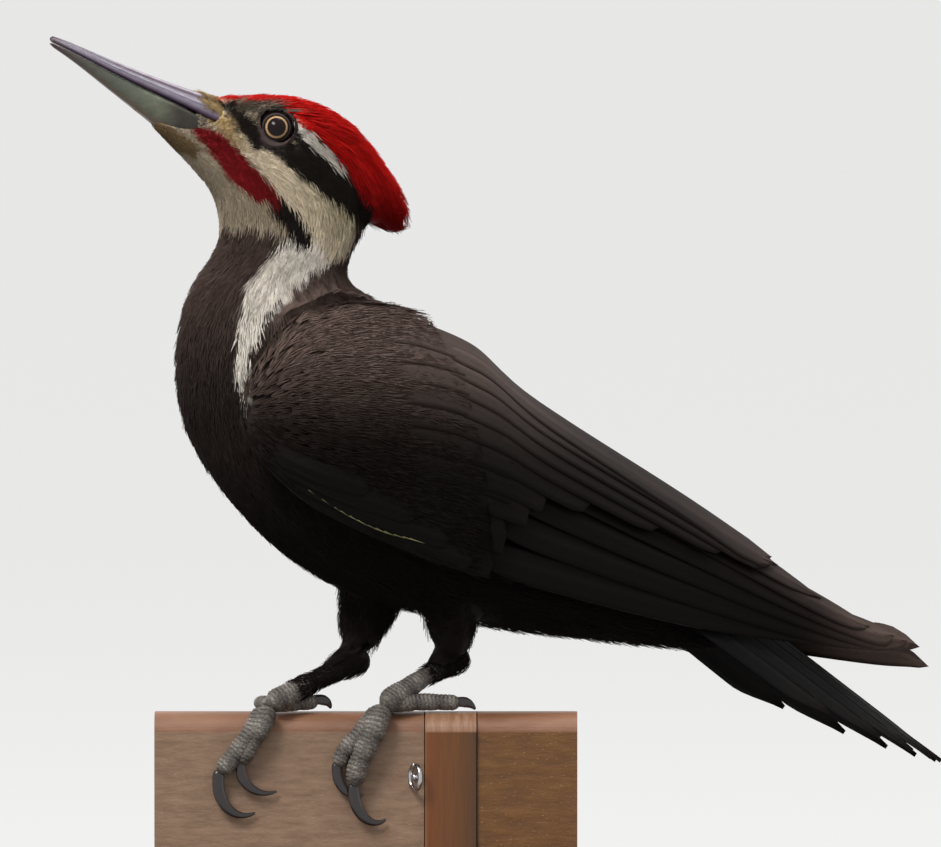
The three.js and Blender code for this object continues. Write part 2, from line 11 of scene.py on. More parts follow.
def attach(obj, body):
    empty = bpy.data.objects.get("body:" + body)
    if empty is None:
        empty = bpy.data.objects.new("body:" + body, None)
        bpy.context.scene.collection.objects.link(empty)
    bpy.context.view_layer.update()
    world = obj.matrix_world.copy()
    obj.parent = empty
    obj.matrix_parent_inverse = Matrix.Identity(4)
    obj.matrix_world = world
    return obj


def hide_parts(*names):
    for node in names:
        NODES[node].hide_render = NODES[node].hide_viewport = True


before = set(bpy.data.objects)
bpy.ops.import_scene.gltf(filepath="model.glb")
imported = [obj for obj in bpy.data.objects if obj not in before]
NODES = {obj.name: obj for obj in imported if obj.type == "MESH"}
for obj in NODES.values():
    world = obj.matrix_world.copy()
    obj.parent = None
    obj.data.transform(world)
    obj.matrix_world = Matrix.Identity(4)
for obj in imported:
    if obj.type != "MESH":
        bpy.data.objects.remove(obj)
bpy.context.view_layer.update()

MM = 0.001
YAW = math.radians(20)  # the bird's turn from the board's length
PERCH_TOP = 82.0  # mm above the floor
BIRD_ORIGIN = np.array([0.0, 5.0, PERCH_TOP])
TURN = np.array([[math.cos(YAW), -math.sin(YAW), 0], [math.sin(YAW), math.cos(YAW), 0], [0, 0, 1]])
PATCH = 0.003  # side of one tuft's patch on the bake map
BATCH = 2000  # points searched at once, to spare memory


# ---------------------------------------------------------------- places and curves
# The bird's own frame is in mm, with its middle plane at y = 0 and its left side towards -y.
def to_world(points):
    return (np.asarray(points, float) @ TURN.T + BIRD_ORIGIN) * MM


def to_bird(points):
    return (np.asarray(points, float) / MM - BIRD_ORIGIN) @ TURN


def perch_to_bird(points):
    """From the perch's frame, mm from the middle of the board's top, to the bird's frame."""
    return (np.asarray(points, float) + [0, 0, PERCH_TOP] - BIRD_ORIGIN) @ TURN


def unit(vectors):
    return vectors / np.maximum(np.linalg.norm(vectors, axis=-1, keepdims=True), 1e-9)


def dot(a, b):
    return np.sum(a * b, axis=-1, keepdims=True)


def ease(value, low, high):
    share = np.clip((np.asarray(value, float) - low) / (high - low), 0, 1)
    return share * share * (3 - 2 * share)


def spline(points, at):
    """Points of the smooth curve through points, where at runs from 0 to 1."""
    points = np.asarray(points, float)
    padded = np.vstack([2 * points[0] - points[1], points, 2 * points[-1] - points[-2]])
    place = np.clip(at, 0, 1) * (len(points) - 1)
    cell = np.minimum(place.astype(int), len(points) - 2)
    u = (place - cell)[..., None]
    a, b, c, d = (padded[cell + k] for k in range(4))
    return 0.5 * (2 * b + (c - a) * u + (2 * a - 5 * b + 4 * c - d) * u**2 + (3 * b - a - 3 * c + d) * u**3)


def rgb(red, green, blue):
    """A linear colour from display values of 0 to 255."""
    value = np.array([red, green, blue]) / 255
    return np.where(value > 0.04045, ((value + 0.055) / 1.055) ** 2.4, value / 12.92)


def waves(points, scale, seed):
    """Smooth noise from -1 to 1, as a sum of plane waves about scale mm long."""
    rng = np.random.default_rng(seed)
    total = np.zeros(points.shape[:-1])
    for _ in range(7):
        way = unit(rng.normal(size=3)) * 2 * math.pi / scale * rng.uniform(0.6, 1.6)
        total += np.sin(points @ way + rng.uniform(0, 2 * math.pi))
    return total / 4.5


# ---------------------------------------------------------------- the bird's sizes, as its solids have them
# [top x, top z, bottom x, bottom z, half width]
BODY = [
    [-98.0, 191.6, -99.6, 190.4, 0.8],  # chin
    [-80.6, 185.0, -84.6, 176.2, 7.8],
    [-63.2, 192.6, -73.2, 164.0, 13.4],  # forehead and throat
    [-40.2, 188.4, -69.8, 156.6, 16.4],  # crown
    [-23.9, 172.0, -69.4, 149.4, 17.6],
    [-22.0, 154.0, -72.4, 141.8, 18.8],  # nape
    [-28.8, 137.5, -78.8, 132.0, 22.2],
    [-20.0, 130.8, -83.4, 114.0, 29.5],  # foot of the neck
    [-6.0, 125.2, -81.2, 91.0, 35.0],
    [9.5, 115.0, -67.4, 67.0, 38.3],  # breast at its widest
    [31.0, 94.5, -39.2, 42.5, 37.6],
    [58.0, 74.2, 7.0, 28.0, 31.4],  # rump and belly
    [82.5, 56.8, 54.0, 21.2, 20.4],
    [109.0, 31.5, 93.0, 16.8, 4.4],  # vent
]
CREST = [
    [-72.0, 192.2, -69.5, 189.0, 3.0],  # where the red begins
    [-63.2, 194.0, -61.0, 184.0, 10.5],
    [-45.6, 193.2, -46.0, 174.0, 15.2],
    [-28.2, 184.8, -36.0, 166.0, 16.4],
    [-13.2, 167.0, -27.5, 155.0, 13.6],
    [-7.2, 155.4, -17.0, 150.4, 6.6],
    [-8.8, 151.2, -13.0, 149.8, 2.4],  # its loose end over the nape
]
UPPER_PROFILE = [[0, 1.04], [0.16, 1], [0.46, 0.72], [0.8, 0.5], [1, 0.22], [0.86, 0]]
LOWER_PROFILE = [[0.86, 1], [1, 0.7], [0.78, 0.3], [0.34, 0], [0, -0.02]]
UPPER_BILL = [
    [-125.0, 211.8, -125.4, 210.2, 1.0],
    [-118.2, 209.4, -117.2, 206.2, 2.3],
    [-103.6, 203.4, -100.2, 197.6, 4.2],
    [-86.0, 196.8, -83.0, 189.6, 5.7],
    [-71.0, 191.8, -69.0, 182.8, 6.7],
    [-65.5, 190.0, -64.0, 180.8, 6.6],
]
LOWER_BILL = [
    [-125.4, 209.8, -125.1, 208.8, 0.9],
    [-117.4, 205.8, -116.2, 202.8, 2.0],
    [-100.5, 197.2, -101.7, 192.0, 3.8],
    [-83.4, 189.2, -86.5, 181.0, 6.3],
    [-69.4, 182.4, -73.5, 174.0, 6.4],
    [-65.0, 180.2, -67.0, 173.6, 5.9],
]
# [lower x, out, z, upper x, out, z, bulge], from the wrist to the tip
WING = [
    [-72.0, 28.5, 93.0, -71.4, 28.5, 98.5, 0.3],
    [-69.6, 31.0, 84.5, -68.0, 28.4, 108.5, 2.4],
    [-51.4, 37.2, 67.0, -50.8, 23.0, 126.2, 9.6],
    [-15.0, 37.6, 50.5, -16.5, 9.5, 127.6, 15.6],
    [8.0, 35.2, 43.6, 9.0, 7.2, 118.0, 15.2],
    [32.0, 31.6, 37.8, 32.0, 6.4, 98.8, 13.0],
    [85.0, 21.4, 27.0, 86.0, 6.0, 65.4, 7.6],
    [140.0, 12.6, 18.4, 134.0, 8.0, 33.4, 2.2],
    [158.0, 10.0, 17.6, 155.5, 9.0, 24.2, 0.8],
]
TIP_SHIFT = {"left": (0, 0), "right": (8, -6.5)}
SIDES = {"left": -1, "right": 1}
TAIL = {"root": (45, 74.6), "slope": math.radians(36.3), "length": 157, "arch": 14}
TAIL_HALF_WIDTHS = (13, 24)  # at the root, and at its widest
TAIL_SHORTER = [0, 5, 13, 26, 46]  # how far each pair falls short of the middle one
EYE = {"x": -54.4, "y": 9.5, "z": 182.8, "radius": 5.3}
EYE_FORWARD = math.radians(17)  # how far an eye looks forward of straight out


def wing_point(side, s, t, lift):
    """A point of the wing's face: s from wrist to tip, t from its lower edge up, lift out from it."""
    rows = np.array(WING)
    low, high = spline(rows[:, 0:3], s), spline(rows[:, 3:6], s)
    bulge = spline(rows[:, 6:7], s)[..., 0]
    normal = np.zeros_like(low)
    normal[..., 1] = high[..., 2] - low[..., 2]
    normal[..., 2] = low[..., 1] - high[..., 1]
    normal = unit(normal)
    out = bulge * np.sin(math.pi * np.clip(t, 0, 1)) + lift
    point = low + (high - low) * t[..., None] + normal * out[..., None]
    beyond = np.maximum(np.asarray(s) - 1, 0)[..., None] * (len(rows) - 1)
    point = point + (rows[-1, 0:3] - rows[-2, 0:3]) * beyond
    dx, dz = TIP_SHIFT[side]
    point[..., 0] += dx * s
    point[..., 1] *= SIDES[side]
    point[..., 2] += dz * s * s
    return point


# ---------------------------------------------------------------- where a point lies on the body
class Ribs:
    """The ribs between the two edges of a shape that is lofted through stations."""

    def __init__(self, stations, count=400):
        self.count = count
        at = np.linspace(0, 1, count)
        self.rails = [spline(np.array(stations)[:, k : k + 2], at) for k in (0, 2)]
        self.flows = [np.gradient(rail, axis=0) for rail in self.rails]
        self.half_widths = spline(np.array(stations)[:, 4:5], at)[:, 0]

    def find(self, points):
        """For points in the bird's frame: s along the shape, the turn round it, and the lie there."""
        flat = points[..., [0, 2]].reshape(-1, 2)
        found = np.zeros(len(flat), int)
        share = np.zeros(len(flat))
        rib = self.rails[1] - self.rails[0]
        length = np.sum(rib * rib, axis=1)
        for start in range(0, len(flat), BATCH):
            part = flat[start : start + BATCH, None] - self.rails[0][None]
            t = np.clip(np.sum(part * rib, axis=2) / length, 0, 1)
            gap = np.linalg.norm(part - rib * t[..., None], axis=2)
            best = np.argmin(gap, axis=1)
            found[start : start + BATCH] = best
            share[start : start + BATCH] = t[np.arange(len(best)), best]
        lie = self.flows[0][found] * (1 - share[:, None]) + self.flows[1][found] * share[:, None]
        across = points[..., 1].reshape(-1) / np.maximum(self.half_widths[found], 1)
        turn = np.arctan2(across, 1 - 2 * share)
        flow = unit(np.stack([lie[:, 0], np.zeros(len(lie)), lie[:, 1]], axis=1))
        shape = points.shape[:-1]
        return found.reshape(shape) / self.count, turn.reshape(shape), flow.reshape(points.shape)


BODY_RIBS = Ribs(BODY)
CREST_RIBS = Ribs(CREST)


def body_map(points):
    """The unwrap of the body's skin: round the body across, and from bill to tail up."""
    s, turn, _ = BODY_RIBS.find(points)
    return np.stack([0.5 + 0.47 * turn / math.pi, 0.03 + 0.94 * s], axis=-1)


# ---------------------------------------------------------------- meshes
def facing_out(points, faces):
    """The faces, turned round where the volume that they close would be negative."""
    a, b, c = (points[faces[:, k]] - points.mean(axis=0) for k in range(3))
    volume = np.sum(np.cross(a, b) * c)
    if faces.shape[1] == 4:
        d = points[faces[:, 3]] - points.mean(axis=0)
        volume += np.sum(np.cross(a, c) * d)
    return faces[:, ::-1] if volume < 0 else faces


def triangles(quads):
    return np.vstack([quads[:, [0, 1, 2]], quads[:, [0, 2, 3]]])


def smooth_mesh(name, points, faces):
    """A smooth mesh from points in metres."""
    mesh = bpy.data.meshes.new(name)
    count, sides = faces.shape
    mesh.vertices.add(len(points))
    mesh.vertices.foreach_set("co", points.ravel())
    mesh.loops.add(count * sides)
    mesh.loops.foreach_set("vertex_index", faces.ravel())
    mesh.polygons.add(count)
    mesh.polygons.foreach_set("loop_start", np.arange(0, count * sides, sides, dtype=np.int32))
    mesh.polygons.foreach_set("use_smooth", np.ones(count, bool))
    mesh.update(calc_edges=True)
    return mesh


def add_object(name, data):
    obj = bpy.data.objects.new(name, data)
    bpy.context.scene.collection.objects.link(obj)
    return obj


def make_piece(name, points, faces, material, bake, colours=None, barbs=None, replaced=()):
    """A smooth piece in place of the replaced nodes. Colours and UV maps are per point."""
    points, faces = np.asarray(points, np.float32), facing_out(points, np.asarray(faces, np.int32))
    mesh = smooth_mesh(name, points, faces)
    if colours is not None:
        layer = mesh.color_attributes.new("Colour", "FLOAT_COLOR", "POINT")
        full = np.ones((len(points), 4), np.float32)
        full[:, :3] = colours
        layer.data.foreach_set("color", full.ravel())
    for map_name, uv in (("OFBake", bake), ("Barbs", barbs)):
        if uv is not None:
            layer = mesh.uv_layers.new(name=map_name)
            layer.data.foreach_set("uv", np.asarray(uv, np.float32)[faces.ravel()].ravel())
    mesh.materials.append(material)
    obj = add_object(name, mesh)
    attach(obj, "root")
    if replaced:
        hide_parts(*replaced)


def grid_faces(count, rows, columns, closed=False):
    """Quads of count separate grids of rows by columns points, joined round the columns where closed."""
    wide = columns if closed else columns - 1
    i, j = np.meshgrid(np.arange(rows - 1), np.arange(wide), indexing="ij")
    a = (i * columns + j).ravel()
    b = (i * columns + (j + 1) % columns).ravel()
    one = np.stack([a, b, b + columns, a + columns], axis=1)
    return (one[None] + (np.arange(count) * rows * columns)[:, None, None]).reshape(-1, 4)


# ---------------------------------------------------------------- materials
def new_material(name, look):
    """A material whose Principled shader has the look's values: the material, its tree and the shader."""
    mat = bpy.data.materials.new(name)
    mat.use_nodes = True
    tree = mat.node_tree
    shader = tree.nodes["Principled BSDF"]
    for key, value in look.items():
        shader.inputs[key].default_value = value
    return mat, tree, shader


def add_node(tree, kind, inputs=None, **settings):
    """A node with these settings, and with inputs that are plain values or other nodes' outputs."""
    made = tree.nodes.new(kind)
    for key, value in settings.items():
        setattr(made, key, value)
    for key, value in (inputs or {}).items():
        if hasattr(value, "is_output"):
            tree.links.new(value, made.inputs[key])
        else:
            made.inputs[key].default_value = value
    return made


def four(colour):
    return (*[float(c) for c in colour], 1.0)


def ramp(tree, factor, *stops):
    """A colour ramp of (place, linear colour) stops."""
    made = add_node(tree, "ShaderNodeValToRGB", {"Fac": factor})
    elements = made.color_ramp.elements
    while len(elements) < len(stops):
        elements.new(0.5)
    for element, (place, colour) in zip(elements, stops):
        element.position = place
        element.color = four(colour)
    return made.outputs["Color"]


def greys(tree, factor, low, high, start=0.3, end=0.7):
    """A ramp between two greys, to multiply a colour by."""
    return ramp(tree, factor, (start, (low,) * 3), (end, (high,) * 3))


def mix(tree, factor, a, b, blend="MIX"):
    """Two colours mixed. Sockets 0, 6 and 7 of the node are its factor and colours, and 2 is its result."""
    inputs = {0: factor, 6: a, 7: b}
    return add_node(tree, "ShaderNodeMix", inputs, data_type="RGBA", blend_type=blend).outputs[2]


def multiply(tree, a, b):
    return mix(tree, 1.0, a, b, "MULTIPLY")


def calculate(tree, operation, *values):
    return add_node(tree, "ShaderNodeMath", dict(enumerate(values)), operation=operation).outputs[0]


def threshold(tree, value, low, high):
    """0 where the value is below low, 1 where it is above high, and even between them."""
    inputs = {"Value": value, "From Min": low, "From Max": high}
    return add_node(tree, "ShaderNodeMapRange", inputs).outputs["Result"]


def noise(tree, place, scale, detail, **more):
    """The factor of a noise texture, where more holds its other inputs."""
    inputs = {"Vector": place, "Scale": scale, "Detail": detail, **more}
    return add_node(tree, "ShaderNodeTexNoise", inputs).outputs["Fac"]


def axis(tree, vector, name):
    return add_node(tree, "ShaderNodeSeparateXYZ", {"Vector": vector}).outputs[name]


def object_place(tree, scale=(1, 1, 1)):
    """The place on the object, in metres times the scale."""
    place = add_node(tree, "ShaderNodeTexCoord").outputs["Object"]
    return add_node(tree, "ShaderNodeMapping", {"Vector": place, "Scale": scale}).outputs[0]


def own_colour(tree):
    """The colour that a piece holds at each of its points."""
    return add_node(tree, "ShaderNodeAttribute", attribute_name="Colour").outputs["Color"]


def finish_look(tree, shader, colour, height, depth, strength=1.0):
    """Gives the shader its colour, and bumps from height that are depth metres deep."""
    tree.links.new(colour, shader.inputs["Base Color"])
    bump = add_node(tree, "ShaderNodeBump", {"Height": height, "Distance": depth, "Strength": strength})
    tree.links.new(bump.outputs["Normal"], shader.inputs["Normal"])


def feather_material(name, roughness, sheen, barb_depth, barbs=14.0):
    """Feather colours from the piece's markings, with barbs that run out from the shaft."""
    look = {"Roughness": roughness, "Sheen Weight": sheen, "Sheen Roughness": 0.45}
    mat, tree, shader = new_material(name, look | {"Specular IOR Level": 0.06})
    vane = add_node(tree, "ShaderNodeUVMap", uv_map="Barbs").outputs["UV"]
    lean = calculate(tree, "ABSOLUTE", axis(tree, vane, "X"))
    along = calculate(tree, "MULTIPLY_ADD", lean, -0.35, axis(tree, vane, "Y"))
    line = add_node(tree, "ShaderNodeCombineXYZ", {"X": along}).outputs[0]
    inputs = {"Vector": line, "Scale": barbs, "Distortion": 1.2, "Detail": 2.0, "Detail Scale": 3.0}
    wave = add_node(tree, "ShaderNodeTexWave", inputs).outputs["Fac"]
    barbed = multiply(tree, own_colour(tree), greys(tree, wave, 0.86, 1.08, 0.0, 1.0))
    speck = greys(tree, noise(tree, object_place(tree), 900.0, 3.0), 0.88, 1.08)
    finish_look(tree, shader, multiply(tree, barbed, speck), wave, barb_depth)
    return mat


def painted_material(name, roughness, grain_size, grain_depth, coat=0.0, spread=0.25, specular=0.5):
    """Colours from the piece, broken by a fine grain that also dents it."""
    look = {"Roughness": roughness, "Coat Weight": coat, "Coat Roughness": 0.12}
    mat, tree, shader = new_material(name, look | {"Specular IOR Level": specular})
    grain = noise(tree, object_place(tree), grain_size, 5.0, Roughness=0.6)
    colour = multiply(tree, own_colour(tree), greys(tree, grain, 1 - spread, 1 + spread))
    finish_look(tree, shader, colour, grain, grain_depth)
    return mat


ROUNDED_TOP = (0.0761, 0.0765)  # m above the floor, between which the face gives way to the rounded top, which is painted paler, partly as its own colour and partly as a painted highlight
STRIP_EDGE, STRIP_WIDTH = -0.0015, 0.016  # m along the board


def board_material():
    """Stained board: a smooth pale rounded top, partly its own colour and partly a painted highlight, over a
    flecked brown face, redder past the strip.
    """
    mat, tree, shader = new_material("BoardWood", {"Roughness": 0.5})
    place, stretched = object_place(tree), object_place(tree, (1, 1, 4))
    blotch = noise(tree, stretched, 90.0, 6.0, Roughness=0.7)
    face = ramp(tree, blotch, (0.3, rgb(113, 87, 67)), (0.5, rgb(130, 103, 81)), (0.7, rgb(145, 118, 95)))
    redder = ramp(tree, blotch, (0.3, rgb(85, 50, 12)), (0.5, rgb(99, 62, 18)), (0.7, rgb(113, 74, 30)))
    face = mix(tree, threshold(tree, axis(tree, place, "X"), STRIP_EDGE, STRIP_EDGE + 0.0002), face, redder)
    flecks = greys(tree, noise(tree, stretched, 700.0, 2.0), 0.0, 0.8, 0.64, 0.74)
    face = mix(tree, flecks, face, four(rgb(168, 136, 102)))
    wobble = noise(tree, stretched, 45.0, 3.0)
    # the rounded top: partly its own paler colour, partly a painted highlight
    top = ramp(tree, wobble, (0.3, rgb(114, 74, 48)), (0.7, rgb(143, 102, 76)))
    colour = mix(tree, threshold(tree, axis(tree, place, "Z"), *ROUNDED_TOP), face, top)
    finish_look(tree, shader, colour, blotch, 0.0004, 0.8)
    return mat


def strip_material():
    """The upright strip: the same pale rounded top, partly a painted highlight, over an orange-brown face
    with a painted highlight along one edge and painted shade that darkens it towards the other.
    """
    mat, tree, shader = new_material("StripWood", {"Roughness": 0.45})
    place = object_place(tree)
    streak = noise(tree, object_place(tree, (6, 1, 0.4)), 160.0, 5.0)
    across = threshold(tree, axis(tree, place, "X"), STRIP_EDGE, STRIP_EDGE + STRIP_WIDTH)
    # a painted highlight at one edge, the face's own orange-brown, and painted shade towards the other edge
    edge_highlight_and_face = ((0.0, rgb(133, 84, 42)), (0.06, rgb(106, 56, 8)), (0.55, rgb(97, 55, 8)))
    painted_shade_side = ((0.9, rgb(81, 46, 8)), (1.0, rgb(62, 38, 14)))
    face = multiply(tree, ramp(tree, across, *edge_highlight_and_face, *painted_shade_side), greys(tree, streak, 0.85, 1.12))
    # the rounded top: partly its own paler colour, partly a painted highlight
    top = ramp(tree, streak, (0.3, rgb(132, 90, 63)), (0.7, rgb(154, 118, 92)))
    colour = mix(tree, threshold(tree, axis(tree, place, "Z"), *ROUNDED_TOP), face, top)
    finish_look(tree, shader, colour, streak, 0.0002)
    return mat


def base_material():
    """Dark varnished wood, with pores along its grain."""
    mat, tree, shader = new_material("BaseWood", {"Roughness": 0.38, "Coat Weight": 0.25})
    stretched = object_place(tree, (1, 9, 9))
    grain = noise(tree, stretched, 28.0, 8.0, Distortion=1.2)
    pore = noise(tree, stretched, 240.0, 3.0)
    colour = ramp(tree, grain, (0.3, rgb(52, 34, 24)), (0.5, rgb(84, 56, 38)), (0.7, rgb(108, 74, 50)))
    colour = multiply(tree, colour, greys(tree, pore, 0.55, 1.0, 0.3, 0.45))
    finish_look(tree, shader, colour, pore, 0.00015)
    return mat


def steel_material(name, tone, roughness, stretch):
    """Bare steel, with fine lines that the stretch draws out."""
    mat, tree, shader = new_material(name, {"Metallic": 1.0, "Roughness": roughness})
    lines = noise(tree, object_place(tree, stretch), 500.0, 4.0)
    finish_look(tree, shader, ramp(tree, lines, (0.3, 0.85 * tone), (0.7, tone)), lines, 0.00004)
    return mat


# ---------------------------------------------------------------- markings
BROWN_BLACK = rgb(81, 67, 61)
BLACK_MID = BROWN_BLACK * 0.2
# [z, share of BROWN_BLACK]: the plumage is painted black below as shade, and lighter and browner towards the
# neck as a painted sheen
BODY_PAINTED_LIGHT = np.array(
    [[35, 0.11], [50, 0.15], [72, 0.24], [100, 0.4], [116, 0.75], [130, 1.3], [150, 1.2]]
)
# [x, z] of the line along the back and wing where the painted shade below meets the painted sheen above, and
# the plumage has about a fifth of BROWN_BLACK's brightness
PAINTED_SHADE_LINE = np.array(
    [[-60, 90], [-16, 88], [3, 85], [23, 80], [43, 78], [61, 71], [79, 60], [98, 46], [117, 31]]
)
# [mm above that line, share of BROWN_BLACK]: painted shade below the line and a painted sheen above it
BACK_PAINTED_LIGHT = np.array([[-25, 0.08], [-10, 0.09], [0, 0.18], [10, 0.55], [25, 1.2], [38, 1.4], [60, 0.6]])
THROAT = rgb(184, 168, 144)
CREAM = rgb(248, 230, 200)
OLIVE = rgb(136, 126, 84)
WHITE = rgb(255, 246, 232)
BAND = rgb(36, 30, 25)
BROW = rgb(108, 98, 85)
CRIMSON = rgb(138, 26, 31)
RED = rgb(216, 24, 18)
DEEP_RED = rgb(154, 13, 15)
BUFF = rgb(202, 174, 124)
BRISTLE = rgb(132, 110, 78)

# Bands are paths of [x, z, half width] on the side of the head and neck, in the bird's frame.
CREST_EDGE = [(-77, 192.8), (-67.5, 191.2), (-57.8, 190.8), (-51.5, 188.6), (-45.1, 182.4), (-39.5, 178.6)]
CREST_EDGE += [(-35.2, 173.4), (-31.3, 167.6), (-27.5, 161.4), (-21.5, 152.5), (-20.5, 144)]
BANDS = {
    "white_line": [(-50.4, 187, 0.5), (-46.6, 182, 1), (-42.6, 177.6, 1.7), (-37.6, 172.6, 1.5)]
    + [(-32.4, 167.4, 0.6)],
    "brow": [(-68, 188.8, 1.2), (-61, 189.4, 1.8), (-52, 188.6, 1.7), (-46.2, 184.4, 1.5), (-40, 178, 1.8)],
    "behind_eye": [(-50, 183, 3), (-44, 177.6, 4.2), (-37, 170.6, 4.4), (-30, 163.6, 3.6), (-24, 157, 2.6)],
    "ear": [(-60, 179, 2), (-52.2, 175.6, 3.4), (-45.8, 171.4, 4.6), (-37.3, 165, 5.2), (-24, 153.5, 4.8)],
    "lores": [(-68.4, 189.4, 1.9), (-65.2, 184.1, 2.8), (-61, 178.6, 2.6)],
    "cream": [(-74.5, 188.6, 2.2), (-68.3, 181.2, 2.9), (-63.4, 176.2, 2.5), (-57.4, 170.4, 3.2)]
    + [(-51.2, 163.4, 4.6)],
    "nape_side": [(-51.2, 163.4, 4.6), (-43.2, 155.4, 6.8), (-37.5, 149.4, 8.2)],
    "crimson": [(-79.5, 182.6, 1.4), (-74.6, 178.6, 3.2), (-66.8, 169.4, 3.9), (-59.5, 162, 3.2)]
    + [(-56, 158.6, 1.6)],
    "moustache": [(-57, 160.4, 1.6), (-54.2, 155.2, 3), (-51.4, 150.2, 3.4), (-48, 146.6, 2.6)],
    "neck": [(-39.5, 147, 6.2), (-49, 141.4, 6.4), (-57.4, 135.4, 5.9), (-63.4, 129, 4.9)]
    + [(-66.6, 122, 3.6)],
    "neck_low": [(-66.6, 122, 3.6), (-68.2, 117, 2.6), (-69.6, 111.6, 2.1), (-70.6, 105, 1.4)]
    + [(-70, 99, 0.5)],
    "neck_end": [(-70, 99, 0.5), (-67.6, 92, 0.15), (-64.9, 86.3, 0.05)],
}
# The order in which the bands are painted, and how ragged the edge of each is.
NECK_STRIPE = [("neck", 0.8), ("neck_low", 0.6), ("neck_end", 0.2)]
HEAD_BANDS = [
    ("moustache", BLACK_MID, 0.8),
    ("crimson", CRIMSON, 0.35),
    ("brow", BROW, 0.35),
    ("behind_eye", BAND, 0.35),
    ("ear", BAND, 0.35),
    ("lores", BAND * 1.8, 0.35),
    ("white_line", WHITE * 0.9, 0.3),
]
OUTSIDE = -9.0  # mm, a depth well outside a marking


def from_segment(flat, start, end):
    """For [x, z] points: the share of the way from start to end nearest each, and its offset from there."""
    way = end - start
    share = np.clip(((flat - start) @ way) / (way @ way), 0, 1)
    return share, flat - start - share[..., None] * way


def inside_band(points, path):
    """How far inside a band each point lies, in mm: positive inside it."""
    flat, path = points[..., [0, 2]], np.array(path, float)
    best = np.full(flat.shape[:-1], -1e9)
    for start, end in zip(path, path[1:]):
        share, offset = from_segment(flat, start[:2], end[:2])
        best = np.maximum(best, start[2] + (end[2] - start[2]) * share - np.linalg.norm(offset, axis=-1))
    return best


def above_crest_edge(points):
    """How far above and behind the red crest's lower edge each point lies, in mm."""
    flat, path = points[..., [0, 2]], np.array(CREST_EDGE, float)
    nearest = np.full(flat.shape[:-1], 1e9)
    signed = np.zeros(flat.shape[:-1])
    for start, end in zip(path, path[1:]):
        _, offset = from_segment(flat, start, end)
        gap = np.linalg.norm(offset, axis=-1)
        way = end - start
        side = np.sign(way[0] * offset[..., 1] - way[1] * offset[..., 0])
        signed = np.where(gap < nearest, side * gap, signed)
        nearest = np.minimum(gap, nearest)
    return signed


def paint_over(colour, new, weight):
    return colour + (new - colour) * np.clip(weight, 0, 1)[..., None]


def markings(points, edge=0.35):
    """The bird's colours at points in its own frame. edge is how soft their borders are, in mm."""
    x, side, z = points[..., 0], np.abs(points[..., 1]), points[..., 2]
    ragged = waves(points, 7, 31) * 0.9

    def cover(colour, new, depth):
        return paint_over(colour, new, 0.5 + depth / (2 * edge))

    def band(name, uneven=0):
        return inside_band(points, BANDS[name]) + ragged * uneven

    # painted light: shade painted on the plumage low down, and a painted sheen higher up and towards the
    # back
    front = np.interp(z, *BODY_PAINTED_LIGHT.T)[..., None] * BROWN_BLACK
    colour = paint_over(front, plumage_with_painted_light(points) * 1.3, ease(x, -64, -56))
    throat_edge = 149.2 + 0.18 * (-66 - x) + waves(points, 5, 5) * 1.4
    on_throat = ((z > 138) & (x < -44))[..., None]
    colour = np.where(on_throat, cover(colour, THROAT, z - throat_edge), colour)
    for name, uneven in NECK_STRIPE[: 3 if edge < 0.5 else 2]:
        colour = cover(colour, WHITE, np.where(side > 5, band(name, uneven), OUTSIDE))
    for name in ("cream", "nape_side"):
        colour = cover(colour, CREAM, band(name, 0.4))
    colour = paint_over(colour, BUFF, ease(-x, 63, 71) * (z > 176) * (band("cream") > 0))
    tint = ease(x, -52, -34) * ease(z, 142, 152) * (1 - ease(z, 160, 168))
    colour = paint_over(colour, OLIVE, tint * 0.55 * (band("nape_side") > 0))
    for name, tone, uneven in HEAD_BANDS:
        colour = cover(colour, tone, band(name, uneven))
    red = RED + (DEEP_RED - RED) * ease(-z, -176, -152)[..., None]
    on_crest = (z > 142) & (x > -78)
    colour = cover(colour, red, np.where(on_crest, above_crest_edge(points) + ragged * 0.35, OUTSIDE))
    nostril_buff = np.where(z > 184, 3.6 - np.hypot(x + 74.5, z - 189.5) + ragged * 0.3, OUTSIDE)
    colour = cover(colour, BUFF, nostril_buff)
    chin = np.where(z > 170, 2.2 - np.abs(z - 184.5 - 0.72 * (-x - 92)) + ragged * 0.4, OUTSIDE)
    return np.where((x < -79)[..., None], cover(colour, BRISTLE, chin), colour)


def plumage_with_painted_light(points):
    """The brown-black of the wings and back, with painted light: painted shade makes it black low down, and
    a painted sheen makes it paler and browner towards the back.
    """
    above = points[..., 2] - np.interp(points[..., 0], *PAINTED_SHADE_LINE.T)
    return BROWN_BLACK * np.interp(above, *BACK_PAINTED_LIGHT.T)[..., None]


# ---------------------------------------------------------------- surfaces to plant on
def mesh_arrays(obj):
    mesh = obj.data
    points = np.empty(len(mesh.vertices) * 3, np.float32)
    mesh.vertices.foreach_get("co", points)
    mesh.calc_loop_triangles()
    faces = np.empty(len(mesh.loop_triangles) * 3, np.int32)
    mesh.loop_triangles.foreach_get("vertices", faces)
    return points.reshape(-1, 3).astype(float), faces.reshape(-1, 3)


def point_normals(points, faces):
    a, b, c = (points[faces[:, k]] for k in range(3))
    facing = np.cross(b - a, c - a)
    normals = np.zeros_like(points)
    for k in range(3):
        np.add.at(normals, faces[:, k], facing)
    return unit(normals)


